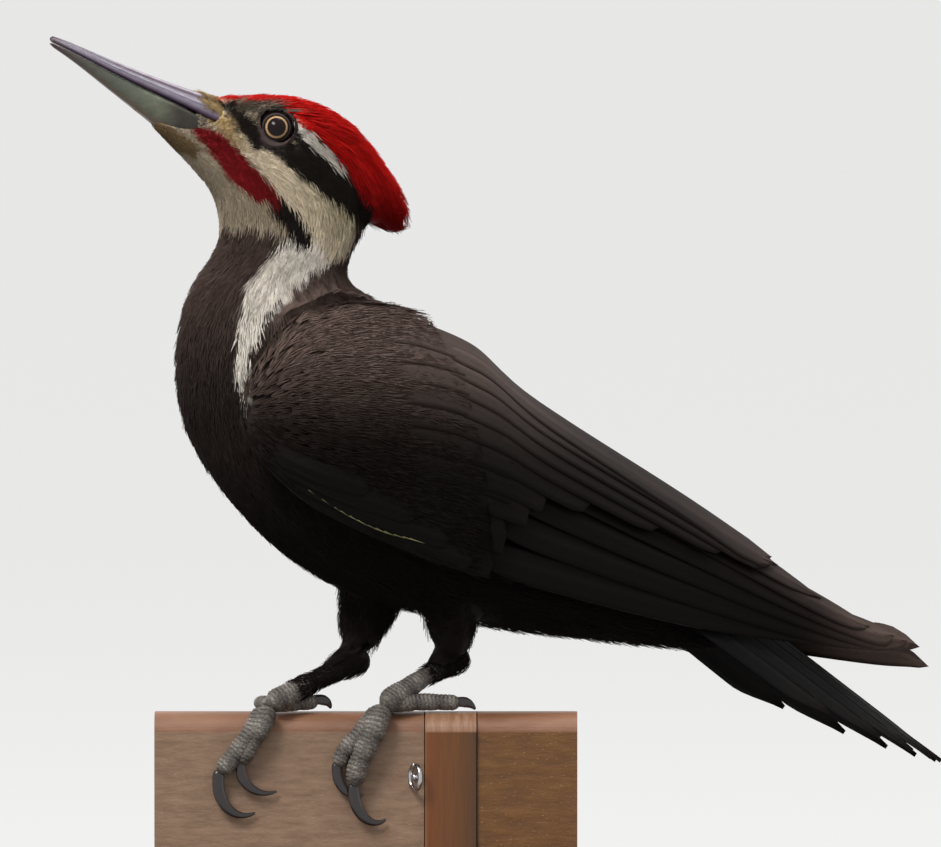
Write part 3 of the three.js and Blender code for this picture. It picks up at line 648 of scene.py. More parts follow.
class Surface:
    """A closed mesh in the bird's frame that can be sampled and searched."""

    def __init__(self, points, faces):
        faces = facing_out(points, faces)
        self.points, self.faces = points, faces
        self.normals = point_normals(points, faces)
        self.face_normals = unit(self.normals[faces].sum(axis=1))
        self.tree = BVHTree.FromPolygons([tuple(p) for p in points], [tuple(f) for f in faces.tolist()])

    def nearest(self, points):
        shape = points.shape
        flat = points.reshape(-1, 3)
        places, normals, gaps = np.empty_like(flat), np.empty_like(flat), np.empty(len(flat))
        for i, point in enumerate(flat):
            place, _, face, gap = self.tree.find_nearest(point)
            places[i], normals[i], gaps[i] = place, self.face_normals[face], gap
        return places.reshape(shape), normals.reshape(shape), gaps.reshape(shape[:-1])

    def under(self, points, way):
        """Where rays from points along way meet the surface, or its nearest place where they miss."""
        met = self.nearest(points + way * 9)[0].reshape(-1, 3)
        for i, point in enumerate(points.reshape(-1, 3)):
            place = self.tree.ray_cast(Vector(point), Vector(way), 20)[0]
            if place is not None:
                met[i] = place
        return met.reshape(points.shape)

    def scatter(self, spacing, seed, wanted):
        """Evenly scattered points at least spacing apart over the wanted faces, with their normals."""
        rng = np.random.default_rng(seed)
        a, b, c = (self.points[self.faces[:, k]] for k in range(3))
        area = np.linalg.norm(np.cross(b - a, c - a), axis=1) / 2 * wanted
        tries = int(area.sum() / spacing**2 * 4)
        face = rng.choice(len(a), tries, p=area / area.sum())
        u, v = rng.random((2, tries, 1))
        flip = u + v > 1
        u, v = np.where(flip, 1 - u, u), np.where(flip, 1 - v, v)
        points = a[face] + (b - a)[face] * u + (c - a)[face] * v
        cells, chosen = {}, []
        for i, (point, cell) in enumerate(zip(points.tolist(), (points // spacing).astype(int).tolist())):
            x, y, z = cell
            near = (
                other
                for dx in (-1, 0, 1)
                for dy in (-1, 0, 1)
                for dz in (-1, 0, 1)
                for other in cells.get((x + dx, y + dy, z + dz), ())
            )
            if all(math.dist(point, other) >= spacing for other in near):
                cells.setdefault((x, y, z), []).append(point)
                chosen.append(i)
        chosen = np.array(chosen)
        return points[chosen], self.face_normals[face[chosen]]


def node_surface(name):
    points, faces = mesh_arrays(NODES[name])
    return Surface(to_bird(points), faces)


FLESH = ["head", "crest", "neck", "trunk", "thigh_left", "thigh_right", "wing_left_arm", "wing_right_arm"]
SURFACES = {name: node_surface(name) for name in FLESH}
COAT_DEPTHS = [0.9, 2.0, 1.5, 1.7, 1.3, 1.3, 1.6, 1.6]  # mm, for each node of FLESH
THIN_SHARE = 0.28  # where the flesh is thin, the skin lies this share of its thickness below its face
SOURCE_SWELL = 0.3  # mm, by which the solids grow so that the cuts between them close
VOXEL = 1.1  # mm, the mesh size of the joined skin
SOFT_PASSES = 8  # of smoothing, for the skin's shape and for its depth


def region_of(points):
    """The index in FLESH of the node each point is nearest to."""
    gaps = np.stack([SURFACES[name].nearest(points)[2] for name in FLESH])
    return np.argmin(gaps, axis=0)


def skin_source():
    """The flesh solids as one object, with the modifiers that join and soften them."""
    joined, faces, start = [], [], 0
    for name in FLESH:
        surface = SURFACES[name]
        joined.append(surface.points + surface.normals * SOURCE_SWELL)
        faces.append(surface.faces + start)
        start += len(surface.points)
    mesh = bpy.data.meshes.new("SkinSource")
    mesh.from_pydata(np.vstack(joined).tolist(), [], np.vstack(faces).tolist())
    source = add_object("SkinSource", mesh)
    remesh = source.modifiers.new("Remesh", "REMESH")
    remesh.mode, remesh.voxel_size = "VOXEL", VOXEL
    soften = source.modifiers.new("Soften", "SMOOTH")
    soften.factor, soften.iterations = 0.5, SOFT_PASSES
    return source


def make_skin_mesh():
    """One closed skin inside the flesh nodes, below their faces by the coat's depth."""
    source = skin_source()
    points, faces = mesh_arrays(source.evaluated_get(bpy.context.evaluated_depsgraph_get()))
    bpy.data.objects.remove(source)
    points, faces = largest_part(points, faces)
    normals = point_normals(points, faces)
    deepest = THIN_SHARE * thickness(Surface(points, faces), points, normals)
    depth = np.minimum(np.array(COAT_DEPTHS)[region_of(points)], deepest)
    for _ in range(SOFT_PASSES):
        depth = even_out(np.minimum(depth, deepest), faces)
    return points - normals * (depth + SOURCE_SWELL)[:, None], faces


THICKEST = 12.0  # mm, beyond which the thickness doesn't matter


def thickness(surface, points, normals):
    """How thick the solid is below each point of its face, in mm."""
    thick = np.full(len(points), 99.0)
    for i, (point, normal) in enumerate(zip(points, normals)):
        gap = surface.tree.ray_cast(Vector(point - normal * 0.05), Vector(-normal), THICKEST)[3]
        if gap is not None:
            thick[i] = gap
    return thick


def even_out(values, faces):
    """Each point's value, as the mean of its neighbours' values."""
    total, count = np.zeros_like(values), np.zeros(len(values))
    for k in range(3):
        for other in (1, 2):
            np.add.at(total, faces[:, k], values[faces[:, (k + other) % 3]])
            np.add.at(count, faces[:, k], 1)
    return total / np.maximum(count, 1)


def largest_part(points, faces):
    """The part of a mesh with the most faces: its points and faces."""
    label = np.arange(len(points))
    while True:
        low = label[faces].min(axis=1)
        new = label.copy()
        for k in range(3):
            np.minimum.at(new, faces[:, k], low)
        new = new[new]
        if np.array_equal(new, label):
            break
        label = new
    names, counts = np.unique(label[faces[:, 0]], return_counts=True)
    kept = label == names[np.argmax(counts)]
    place = np.cumsum(kept) - 1
    return points[kept], place[faces[kept[faces[:, 0]]]]


# ---------------------------------------------------------------- the lie of the coat
# A lie is the direction in which feathers point, as a function of places.
# The hip, knee, heel and foot of each leg
LEG_LINES = {
    "left": perch_to_bird([[5, -8, 46], [7.6, -2.4, 27.5], [9.4, 6.2, 17.8], [-14.6, -11.2, 2.6]]),
    "right": perch_to_bird([[-15.2, 15, 46], [-20.2, 9, 29], [-20, 2.2, 17.6], [-50.4, -11.2, 2.8]]),
}


def body_lie(points):
    """Back along the body from the bill to the tail."""
    return BODY_RIBS.find(points)[2]


def crest_lie(points):
    """Back along the crest, and a little along the body under it."""
    return unit(CREST_RIBS.find(points)[2] + BODY_RIBS.find(points)[2] * 0.3)


def wing_lie(side):
    """From the wrist to the tip, as at the nearest place of the wing's face."""
    s, t = np.meshgrid(np.linspace(0, 1, 90), np.linspace(0, 1, 26), indexing="ij")
    face = wing_point(side, s, t, np.zeros_like(s))
    along, face = unit(np.gradient(face, axis=0)).reshape(-1, 3), face.reshape(-1, 3)

    def lie(points):
        best = np.empty(len(points), int)
        for start in range(0, len(points), BATCH):
            gaps = np.linalg.norm(points[start : start + BATCH, None] - face[None], axis=2)
            best[start : start + BATCH] = np.argmin(gaps, axis=1)
        return along[best]

    return lie


def thigh_lie(side):
    """Down the thigh to the knee, on to the heel, and then along the shank."""
    hip, knee, heel, foot = LEG_LINES[side]

    def lie(points):
        down = np.where(points[:, 2:] > knee[2], knee - hip, heel - knee)
        shank = unit(foot - heel)
        past = ease((points - heel) @ shank, 0.5, 4)[:, None]
        return unit(unit(down) * (1 - past) + shank * past)

    return lie


# ---------------------------------------------------------------- tufts
# A tuft's look, unless its coat says otherwise. Each coat adds a seed, and its length, width, rise and paint
# as plain values or functions of places.
TUFT = {
    "rows": 4,
    "strands": 3,
    "spread": 0.9,  # how far the strands fan out, in half widths
    "skew": 0.1,  # how far tufts stray from the lie
    "loose": 0,  # the share at the end that stands off the surface
    "camber": 0.12,  # how far a tuft arches across
    "root_shade": 0.8,  # painted shade: the root's share of the tone, as it lies under the tufts over it
    "vary": 0.14,  # how much the tone varies from tuft to tuft
    "painted_at_root": False,  # otherwise the paint is read at the middle
}
STRAND = np.array([[-1, 0], [0, 0.1], [1, 0]])  # [share of the half width, mm up], round a strand
ROOT_SINK = -0.35  # mm, the height of a tuft's root over its surface
LEAST_SPAN = 0.8  # a tuft bends too much where it spans less than this share of its length from root to tip
LEAST_TURN = 0.45  # or where the cosine of the turn from root to tip is less than this
MOST_TRIANGLES = 195000  # in one piece of a coat


def value_at(value, points, shape):
    """A look's value at points, where it is a plain value or a function of them."""
    return value(points) if callable(value) else np.broadcast_to(value, shape)


def march(surface, roots, normals, lengths, lie, rows, loose):
    """Follows the lie over the surface from each root; the loose share at the end runs on straight."""
    places, facing = [roots], [normals]
    for row in range(1, rows):
        here, up = places[-1], facing[-1]
        if row > rows * (1 - loose):
            places.append(2 * here - places[-2])
            facing.append(up)
            continue
        way = value_at(lie, here, here.shape)
        way = unit(way - up * dot(way, up))
        place, normal, _ = surface.nearest(here + way * (lengths / (rows - 1))[:, None])
        places.append(place)
        facing.append(unit(normal + up * 0.5))
    return np.stack(places, axis=1), np.stack(facing, axis=1)


def lay_tufts(surface, roots, normals, lie, look, rng):
    """The middle line of every tuft, the way up along it, and its width. Those that bend too much go."""
    count, rows = len(roots), look["rows"]
    lengths = value_at(look["length"], roots, count) * rng.uniform(0.85, 1.15, count)
    widths = value_at(look["width"], roots, count) * rng.uniform(0.85, 1.15, count)
    places, facing = march(surface, roots, normals, lengths, lie, rows, look["loose"])
    straight = np.linalg.norm(places[:, -1] - places[:, 0], axis=1) > LEAST_SPAN * lengths
    straight &= dot(facing[:, 0], facing[:, -1])[:, 0] > LEAST_TURN
    places, facing, lengths = places[straight], facing[straight], lengths[straight]
    turn = rng.normal(0, look["skew"], len(places))
    side = unit(np.cross(facing[:, 0], places[:, -1] - places[:, 0]))
    for i in range(1, rows):
        places[:, i] += side * (turn * lengths * (i / (rows - 1)) ** 1.3)[:, None]
    return places, facing, widths[straight]


def lance(v):
    """The half width of a strand along it: full near its root, down to a point."""
    return 0.5 * (0.55 + 0.45 * math.sin(math.pi * min(1, v * 1.5 + 0.15))) * (1 - v**2.2) + 0.01


def tuft_grid(places, facing, widths, rise, look, rng):
    """Points of every tuft, as (tuft, strand, row, place round the strand, xyz)."""
    count, rows, _ = places.shape
    strands, camber = look["strands"], look["camber"]
    along = unit(np.gradient(places, axis=1))
    across = unit(np.cross(facing, along))
    fan = np.linspace(-1, 1, strands) if strands > 1 else np.zeros(1)
    points = np.empty((count, strands, rows, len(STRAND), 3))
    every = np.arange(count)
    for k, out in enumerate(fan):
        shorter = 1 - (0.22 * abs(out) + 0.16 * rng.random(count)) * (strands > 1)
        wander = out * look["spread"] + rng.normal(0, 0.12, count) * (strands > 1)
        for i, v in enumerate(np.linspace(0, 1, rows)):
            here = v * shorter * (rows - 1)
            cell = np.minimum(here.astype(int), rows - 2)
            part = (here - cell)[:, None]
            place = places[every, cell] * (1 - part) + places[every, cell + 1] * part
            up = unit(facing[every, cell] * (1 - part) + facing[every, cell + 1] * part)
            side = unit(across[every, cell] * (1 - part) + across[every, cell + 1] * part)
            centre = place + side * (wander * widths * (0.25 + 0.75 * v))[:, None]
            lift = ROOT_SINK + (rise - ROOT_SINK) * v**0.8
            half = widths * lance(v) / strands**0.55
            for j, (c, thick) in enumerate(STRAND):
                drop = camber * half * (c * c + 0.8 * out * out) - thick
                points[:, k, i, j] = centre + side * (half * c)[:, None] + up * (lift - drop)[:, None]
    return points


def tuft_colours(places, look, rng):
    """The paint at each tuft, with painted shade that makes it darker at the root, and uneven from tuft to
    tuft and strand to strand.
    """
    count, rows, _ = places.shape
    share = np.linspace(0, 1, rows)[None, None, :, None]
    vary, dark_root = look["vary"], look["root_shade"]
    tone = rng.uniform(1 - vary, 1 + vary, (count, 1, 1, 1))
    tone = tone * rng.uniform(0.9, 1.1, (count, look["strands"], 1, 1))
    shade = tone * (dark_root + (1.08 - dark_root) * share**0.7) * np.ones((1, 1, 1, len(STRAND)))
    seen_at = places[:, 0 if look["painted_at_root"] else (rows + 1) // 2]
    return value_at(look["paint"], seen_at, seen_at.shape)[:, None, None, None] * shade[..., None]


def tuft_maps(places, strands, rng):
    """The bake map, where each tuft has a patch of its own, and the map that its barbs follow."""
    count, rows, _ = places.shape
    share = np.linspace(0, 1, rows)[None, None, :, None]
    line = STRAND[None, None, None, :, 0]
    centre = body_map(places[:, 0])[:, None, None, None]
    fan = np.linspace(-0.7, 0.7, strands)[None, :, None, None] if strands > 1 else np.zeros((1, 1, 1, 1))
    bake = np.empty((count, strands, rows, len(STRAND), 2))
    bake[..., 0] = centre[..., 0] + PATCH / 2 * (fan + 0.28 * line)
    bake[..., 1] = centre[..., 1] + PATCH * (share - 0.5)
    barbs = np.empty_like(bake)
    barbs[..., 0] = line
    barbs[..., 1] = share + rng.random((count, 1, 1, 1))
    return bake, barbs


def coat(name, surface, roots, normals, lie, slot_name, material, **changes):
    """Solid tufts from the roots along the lie, in as many pieces as they need. changes are to TUFT."""
    look = TUFT | changes
    rng = np.random.default_rng(look["seed"])
    places, facing, widths = lay_tufts(surface, roots, normals, lie, look, rng)
    count, rows, strands = len(places), look["rows"], look["strands"]
    rise = value_at(look["rise"], places[:, 0], count) * rng.uniform(0.8, 1.2, count)
    grid = tuft_grid(places, facing, widths, rise, look, rng)
    colours = tuft_colours(places, look, rng)
    bake, barbs = tuft_maps(places, strands, rng)
    most = MOST_TRIANGLES // (strands * (rows - 1) * len(STRAND) * 2)
    parts = math.ceil(count / most)
    for part in range(parts):
        chosen = slice(part * most, (part + 1) * most)
        make_piece(
            name if parts == 1 else f"{name}_{part + 1}",
            to_world(grid[chosen].reshape(-1, 3)),
            grid_faces(len(grid[chosen]) * strands, rows, len(STRAND), closed=True),
            material,
            bake[chosen].reshape(-1, 2),
            colours[chosen].reshape(-1, 3),
            barbs[chosen].reshape(-1, 2),
        )


# ---------------------------------------------------------------- skin, with the bare ring round each eye
BILL_LINE = np.array([-math.cos(math.radians(22)), 0, math.sin(math.radians(22))])
PUPIL, IRIS = 2.95, 3.62  # mm, radii
LID_EDGE = 4.0  # mm, radius of the lid margin
BARE_RING = 6.3  # mm, radius of the bare skin round an eye
RING_CUT = BARE_RING + 0.6  # mm, radius out to which the skin below the ring is cut away
RING_END = BARE_RING + 1.7  # mm, radius of the ring's edge, which lies sunk under the feathers
WRINKLE = 0.17  # mm, half the depth of the ring's wrinkles
WRINKLE_STEP = 0.78  # mm, from one wrinkle to the next
RING_SINK = 1.3  # mm, how far the skin sinks beside the cut
SINK_SPAN = (5.6, 7.5)  # mm, the radii over which that fades away
HEEL_INSET = 5.0  # mm up from the heel, the place that the skin's end is drawn towards
HEEL_PULL = 0.75  # the share of the way there that it is drawn
PULL_SPAN = (3, 7)  # mm from the heel, over which that fades away
RING_SLATE = rgb(78, 67, 64)
LID_DARK = rgb(26, 18, 18)
SKIN_SHADE = 0.65  # painted shade: the skin's share of the brightness of the feathers over it, as it lies in their shadow


def eye_axes(side):
    """An eye's middle, the way it looks, and two directions across that."""
    sign = SIDES[side]
    middle = np.array([EYE["x"], sign * EYE["y"], EYE["z"]])
    look = unit(math.sin(EYE_FORWARD) * BILL_LINE + np.array([0, sign * math.cos(EYE_FORWARD), 0]))
    forward = unit(BILL_LINE - look * np.dot(BILL_LINE, look))
    return middle, look, forward, np.cross(look, forward)


def from_eye_axis(points, side):
    """How far points lie from the line along which an eye looks, on its own side of the head."""
    middle, look, _, _ = eye_axes(side)
    offset = points - middle
    along = offset @ look
    away = np.linalg.norm(offset - along[..., None] * look, axis=-1)
    return np.where(along > 0, away, 99.0)


def near_eye(points):
    """How far points lie from the nearer eye's axis."""
    return np.minimum(from_eye_axis(points, "left"), from_eye_axis(points, "right"))


def eye_ring(side, skin, rings=26, sides=72):
    """Lid margin and wrinkled bare skin, from the eyeball's face out to the feathers."""
    middle, look, forward, up = eye_axes(side)
    angle = np.linspace(0, 2 * math.pi, sides, endpoint=False)
    radius = np.linspace(IRIS, RING_END, rings)
    around = np.cos(angle)[:, None] * forward + np.sin(angle)[:, None] * up
    flat = middle + around[None] * radius[:, None, None]
    depth = np.sqrt(EYE["radius"] ** 2 - np.minimum(radius, LID_EDGE + 0.2) ** 2)
    on_ball = flat + look * depth[:, None, None]
    on_skin = skin.under(flat + look * 14, -look)
    share = ease(radius, LID_EDGE, LID_EDGE + 2.4)[:, None, None]
    ripple = 0.7 * np.sin(angle * 3 + radius[:, None]) + 0.4 * np.sin(angle * 7)
    wrinkle = WRINKLE * np.cos((radius[:, None] - 4.2) * 2 * math.pi / WRINKLE_STEP + ripple)
    margin = 0.3 * np.exp(-(((radius - LID_EDGE) / 0.35) ** 2))[:, None]
    fade = (1 - ease(radius, BARE_RING - 1.0, RING_CUT))[:, None]
    height = (margin + wrinkle * ease(radius, 4.3, 4.8)[:, None] + 0.3) * fade - 0.35 * (1 - fade)
    points = on_ball * (1 - share) + on_skin * share + look * height[..., None]
    faces = grid_faces(1, rings, sides, closed=True)
    a, b, c = (points.reshape(-1, 3)[faces[:, k]] for k in range(3))
    if np.sum(np.cross(b - a, c - a) @ look) < 0:
        faces = faces[:, ::-1]
    # painted shade in the wrinkles' troughs, and painted highlight on their crests
    dark = 0.62 + 0.38 * (wrinkle + WRINKLE) / (2 * WRINKLE)
    colour = RING_SLATE * np.clip(dark, 0.4, 1.1)[..., None]
    # the lid margin's own dark colour inside, and painted shade outside, where the ring runs under the
    # feathers
    lid_edge_and_shade = np.maximum(1 - ease(radius, 3.9, 4.4), 0.7 * ease(radius, 5.2, 6.8))
    colour = paint_over(colour, LID_DARK, lid_edge_and_shade[:, None] * np.ones(sides)).reshape(-1, 3)
    return points.reshape(-1, 3), triangles(faces), colour


def sink_skin(skin):
    """The skin's points, sunk below the bare rings, and drawn in at the heels, where the shanks start."""
    sunk = skin.points - skin.normals * RING_SINK * (1 - ease(near_eye(skin.points), *SINK_SPAN))[:, None]
    for _, knee, heel, _ in LEG_LINES.values():
        within = heel + unit(knee - heel) * HEEL_INSET
        share = HEEL_PULL * (1 - ease(np.linalg.norm(skin.points - heel, axis=1), *PULL_SPAN))
        sunk = sunk + (within - sunk) * share[:, None]
    return sunk


def make_skin():
    """The skin, cut away under the bare rings, with the rings in its place there."""
    skin = Surface(*make_skin_mesh())
    under_ring = near_eye(skin.points) < RING_CUT
    kept = skin.faces[~under_ring[skin.faces].all(axis=1)]
    # the skin is painted darker than the feathers' markings, as painted shade under them
    parts = [(sink_skin(skin), kept, markings(skin.points, 0.8) * SKIN_SHADE)]
    parts += [eye_ring(side, skin) for side in SIDES]
    starts = np.cumsum([0] + [len(part[0]) for part in parts])
    points = np.vstack([part[0] for part in parts])
    faces = np.vstack([part[1] + start for part, start in zip(parts, starts)])
    colours = np.vstack([part[2] for part in parts])
    bare, bake = painted_material("SkinBare", 0.7, 900.0, 0.0001, specular=0.08), body_map(points)
    make_piece("Skin", to_world(points), faces, bare, bake, colours, replaced=FLESH)
    return skin


SKIN = make_skin()


# ---------------------------------------------------------------- eyes
IRIS_PALE, IRIS_EDGE = rgb(183, 147, 105), rgb(85, 60, 45)
PUPIL_DARK, BALL_DARK = rgb(22, 8, 9), rgb(24, 20, 20)
DOME_HEIGHT = 0.45  # mm, how far the cornea stands over the ball
EYE_GLOSS = painted_material("EyeGloss", 0.2, 2500.0, 0.0, coat=0.35, spread=0.12, specular=0.0)


def make_eye(side, rings=70, sides=96):
    """An eyeball with a domed cornea, a large pupil and a pale iris."""
    middle, look, forward, up = eye_axes(side)
    turn = np.concatenate([np.linspace(0, 0.85, rings - 14), np.linspace(0.9, math.pi, 14)])
    angle = np.linspace(0, 2 * math.pi, sides, endpoint=False)
    around = np.cos(angle)[:, None] * forward + np.sin(angle)[:, None] * up
    across = EYE["radius"] * np.sin(turn)
    dome = DOME_HEIGHT * (1 - ease(across, 0, IRIS + 0.2)) * (turn < 1.2)
    height = EYE["radius"] * np.cos(turn) + dome
    points = middle + around[None] * across[:, None, None] + look * height[:, None, None]
    rays = 0.5 + 0.5 * np.sin(angle * 31 + 2 * np.sin(angle * 5))
    shade = (0.8 + 0.28 * rays)[None, :, None] * np.ones((len(turn), 1, 1))
    colour = np.broadcast_to(IRIS_PALE, (*points.shape[:2], 3)) * shade
    for tone, weight in (
        (IRIS_EDGE, ease(across, IRIS - 0.2, IRIS)),
        (PUPIL_DARK, 1 - ease(across, PUPIL - 0.2, PUPIL + 0.12)),
        (BALL_DARK, ease(across, IRIS - 0.15, IRIS + 0.1)),
    ):
        colour = paint_over(colour, tone, weight[:, None] * np.ones(sides))
    faces = grid_faces(1, len(turn), sides, closed=True)
    if SIDES[side] > 0:
        faces = faces[:, ::-1]
    points = points.reshape(-1, 3)
    make_piece(
        f"Eye{side.title()}",
        to_world(points),
        faces,
        EYE_GLOSS,
        0.5 + 0.05 * (points - middle)[:, [0, 2]],
        colour.reshape(-1, 3),
        replaced=[f"eye_{side}"],
    )


for eye_side in SIDES:
    make_eye(eye_side)


# ---------------------------------------------------------------- bill
BILL_HORN = painted_material("BillHorn", 0.36, 420.0, 0.00008, coat=0.1, spread=0.14, specular=0.3)


def line_at(value, middle, width):
    """1 at the middle of a line and 0 well away from it."""
    return np.exp(-(((value - middle) / width) ** 2))


def mandible(stations, profile, relief, paint, rows=120, sides=60):
    """A horn sheath lofted through its stations: points, faces and colours, with its ends closed."""
    stations = np.array(stations)
    v, u = np.linspace(0, 1, rows), np.linspace(0, 1, sides)
    top, bottom = spline(stations[:, 0:2], v), spline(stations[:, 2:4], v)
    half = spline(stations[:, 4:5], v)[:, 0]
    outline = spline(profile, u)
    ring = np.vstack([outline, outline[::-1][1:-1] * [-1, 1]])
    place = np.concatenate([u, u[::-1][1:-1]])
    across = ring[None, :, 0] * half[:, None]
    flat = bottom[:, None] + (top - bottom)[:, None] * ring[None, :, 1:2]
    points = np.stack([flat[..., 0], across, flat[..., 1]], axis=-1)
    middle = points.mean(axis=1, keepdims=True)
    points = points + unit(points - middle) * relief(v[:, None], place[None, :], half[:, None])[..., None]
    colour = paint(v[:, None], place[None, :], points)
    rounded = np.sqrt(np.clip(np.minimum(v / 0.025, (1 - v) / 0.01), 0.02, 1))[:, None, None]
    points = middle + (points - middle) * rounded
    ends = [np.repeat(middle[k : k + 1], len(ring), axis=1) for k in (0, rows - 1)]
    points = np.concatenate([ends[0], points, ends[1]])
    colour = np.concatenate([colour[:1], colour, colour[-1:]])
    return points.reshape(-1, 3), grid_faces(1, rows + 2, len(ring), closed=True), colour.reshape(-1, 3)


def upper_relief(v, u, half):
    """The ridge over the nostril line of the upper bill, the groove over it, and its growth lines."""
    ridge = 0.3 * line_at(u, 0.42, 0.08) - 0.3 * line_at(u, 0.27, 0.045)
    edge = 0.2 * line_at(u, 0.74, 0.05) - 0.14 * line_at(u, 0.62, 0.05)
    growth = 0.03 * np.sin(v * 120 + 3 * np.sin(u * 9))
    return (ridge + edge) * ease(half, 2.0, 4.6) + growth * ease(half, 2, 5)


def lower_relief(v, u, half):
    """A soft ridge along the lower bill, and its growth lines."""
    ridge = 0.16 * line_at(u, 0.3, 0.08)
    return ridge * ease(half, 1.5, 4.5) + 0.03 * np.sin(v * 110 + 2 * np.sin(u * 8)) * ease(half, 2, 5)


def paint_layers(colour, shape, *layers):
    """A colour over a whole shape, under layers of (colour, weight)."""
    colour = np.broadcast_to(colour, shape)
    for tone, weight in layers:
        colour = paint_over(colour, tone, weight * np.ones(shape[:-1]))
    return colour


def upper_paint(v, u, points):
    """Slate, with a pale facet along the top, a painted highlight line near the ridge, a dark groove and a
    violet cutting edge.
    """
    near_base = ease(v, 0.2, 0.5)
    streak = 0.5 + 0.5 * waves(points * [0.3, 1, 1.8], 3, 41)
    facet = ease(u, 0.3, 0.42) * (1 - ease(u, 0.46, 0.6))
    return paint_layers(
        rgb(100, 92, 105),
        points.shape,
        (rgb(158, 150, 165), (0.12 + 0.4 * streak) * facet * near_base),
        # a painted highlight: a thin pale line near the ridge
        (rgb(178, 164, 176), 0.75 * line_at(u, 0.19, 0.03) * near_base),
        (rgb(40, 26, 42), 0.7 * line_at(u, 0.5, 0.035) * ease(v, 0.1, 0.3)),
        (rgb(70, 42, 52), 0.7 * (1 - ease(u, 0.03, 0.1))),
        (rgb(52, 26, 34), 0.9 * line_at(u, 0.27, 0.03) * ease(v, 0.3, 0.5)),
        (rgb(44, 22, 44), 0.95 * ease(u, 0.58, 0.74)),
        (rgb(58, 34, 44), 0.8 * (1 - ease(v, 0.0, 0.25))),
    )


def lower_paint(v, u, points):
    """Grey-green horn, brown along its keel and at its base, and maroon at its tip."""
    streak = 0.5 + 0.5 * waves(points * [0.35, 1, 1.6], 3, 43)
    return paint_layers(
        rgb(87, 91, 79),
        points.shape,
        (rgb(128, 131, 109), 0.6 * streak * ease(v, 0.3, 0.6)),
        (rgb(44, 34, 48), 0.8 * (1 - ease(u, 0.02, 0.14))),
        (rgb(98, 70, 48), 0.75 * ease(u, 0.55, 0.85)),
        (rgb(40, 31, 28), 0.9 * ease(points[..., 0], -93, -84)),
        (rgb(66, 40, 42), 0.9 * (1 - ease(v, 0.0, 0.4))),
    )


def make_horn(name, shape, node):
    """One half of the bill, as a piece and as a surface that tufts can grow on."""
    points, faces, colours = mandible(*shape)
    bake = points[:, [0, 2]] / 200 + [0.8, -0.6]
    make_piece(name, to_world(points), faces, BILL_HORN, bake, colours, replaced=[node])
    return Surface(points, triangles(faces))


UPPER_SHAPE = (UPPER_BILL, UPPER_PROFILE + [[0, 0.03]], upper_relief, upper_paint)
LOWER_SHAPE = (LOWER_BILL, [[0, 0.97]] + LOWER_PROFILE, lower_relief, lower_paint)
BILL = [
    make_horn("BillUpper", UPPER_SHAPE, "bill_upper"),
    make_horn("BillLower", LOWER_SHAPE, "bill_lower"),
]


# ---------------------------------------------------------------- feet
def warty_material():
    """Rough foot skin: small round papillae, with painted shade in the gaps between them and their tops
    painted a little lighter.
    """
    mat, tree, shader = new_material("FootSkin", {"Roughness": 0.55, "Specular IOR Level": 0.3})
    place = object_place(tree)
    cells = add_node(tree, "ShaderNodeTexVoronoi", {"Vector": place, "Scale": 1250.0}).outputs["Distance"]
    # painted shade in the gaps between the papillae
    gaps = ramp(tree, cells, (0.15, (1.12, 1.12, 1.12)), (0.62, (0.66, 0.64, 0.63)))
    speck = greys(tree, noise(tree, place, 700.0, 4.0), 0.85, 1.12)
    colour = multiply(tree, multiply(tree, own_colour(tree), gaps), speck)
    finish_look(tree, shader, colour, gaps, 0.00018)
    return mat


HORN_SKIN = warty_material()
CLAW_HORN = painted_material("ClawHorn", 0.3, 700.0, 0.00003, coat=0.25, spread=0.12)

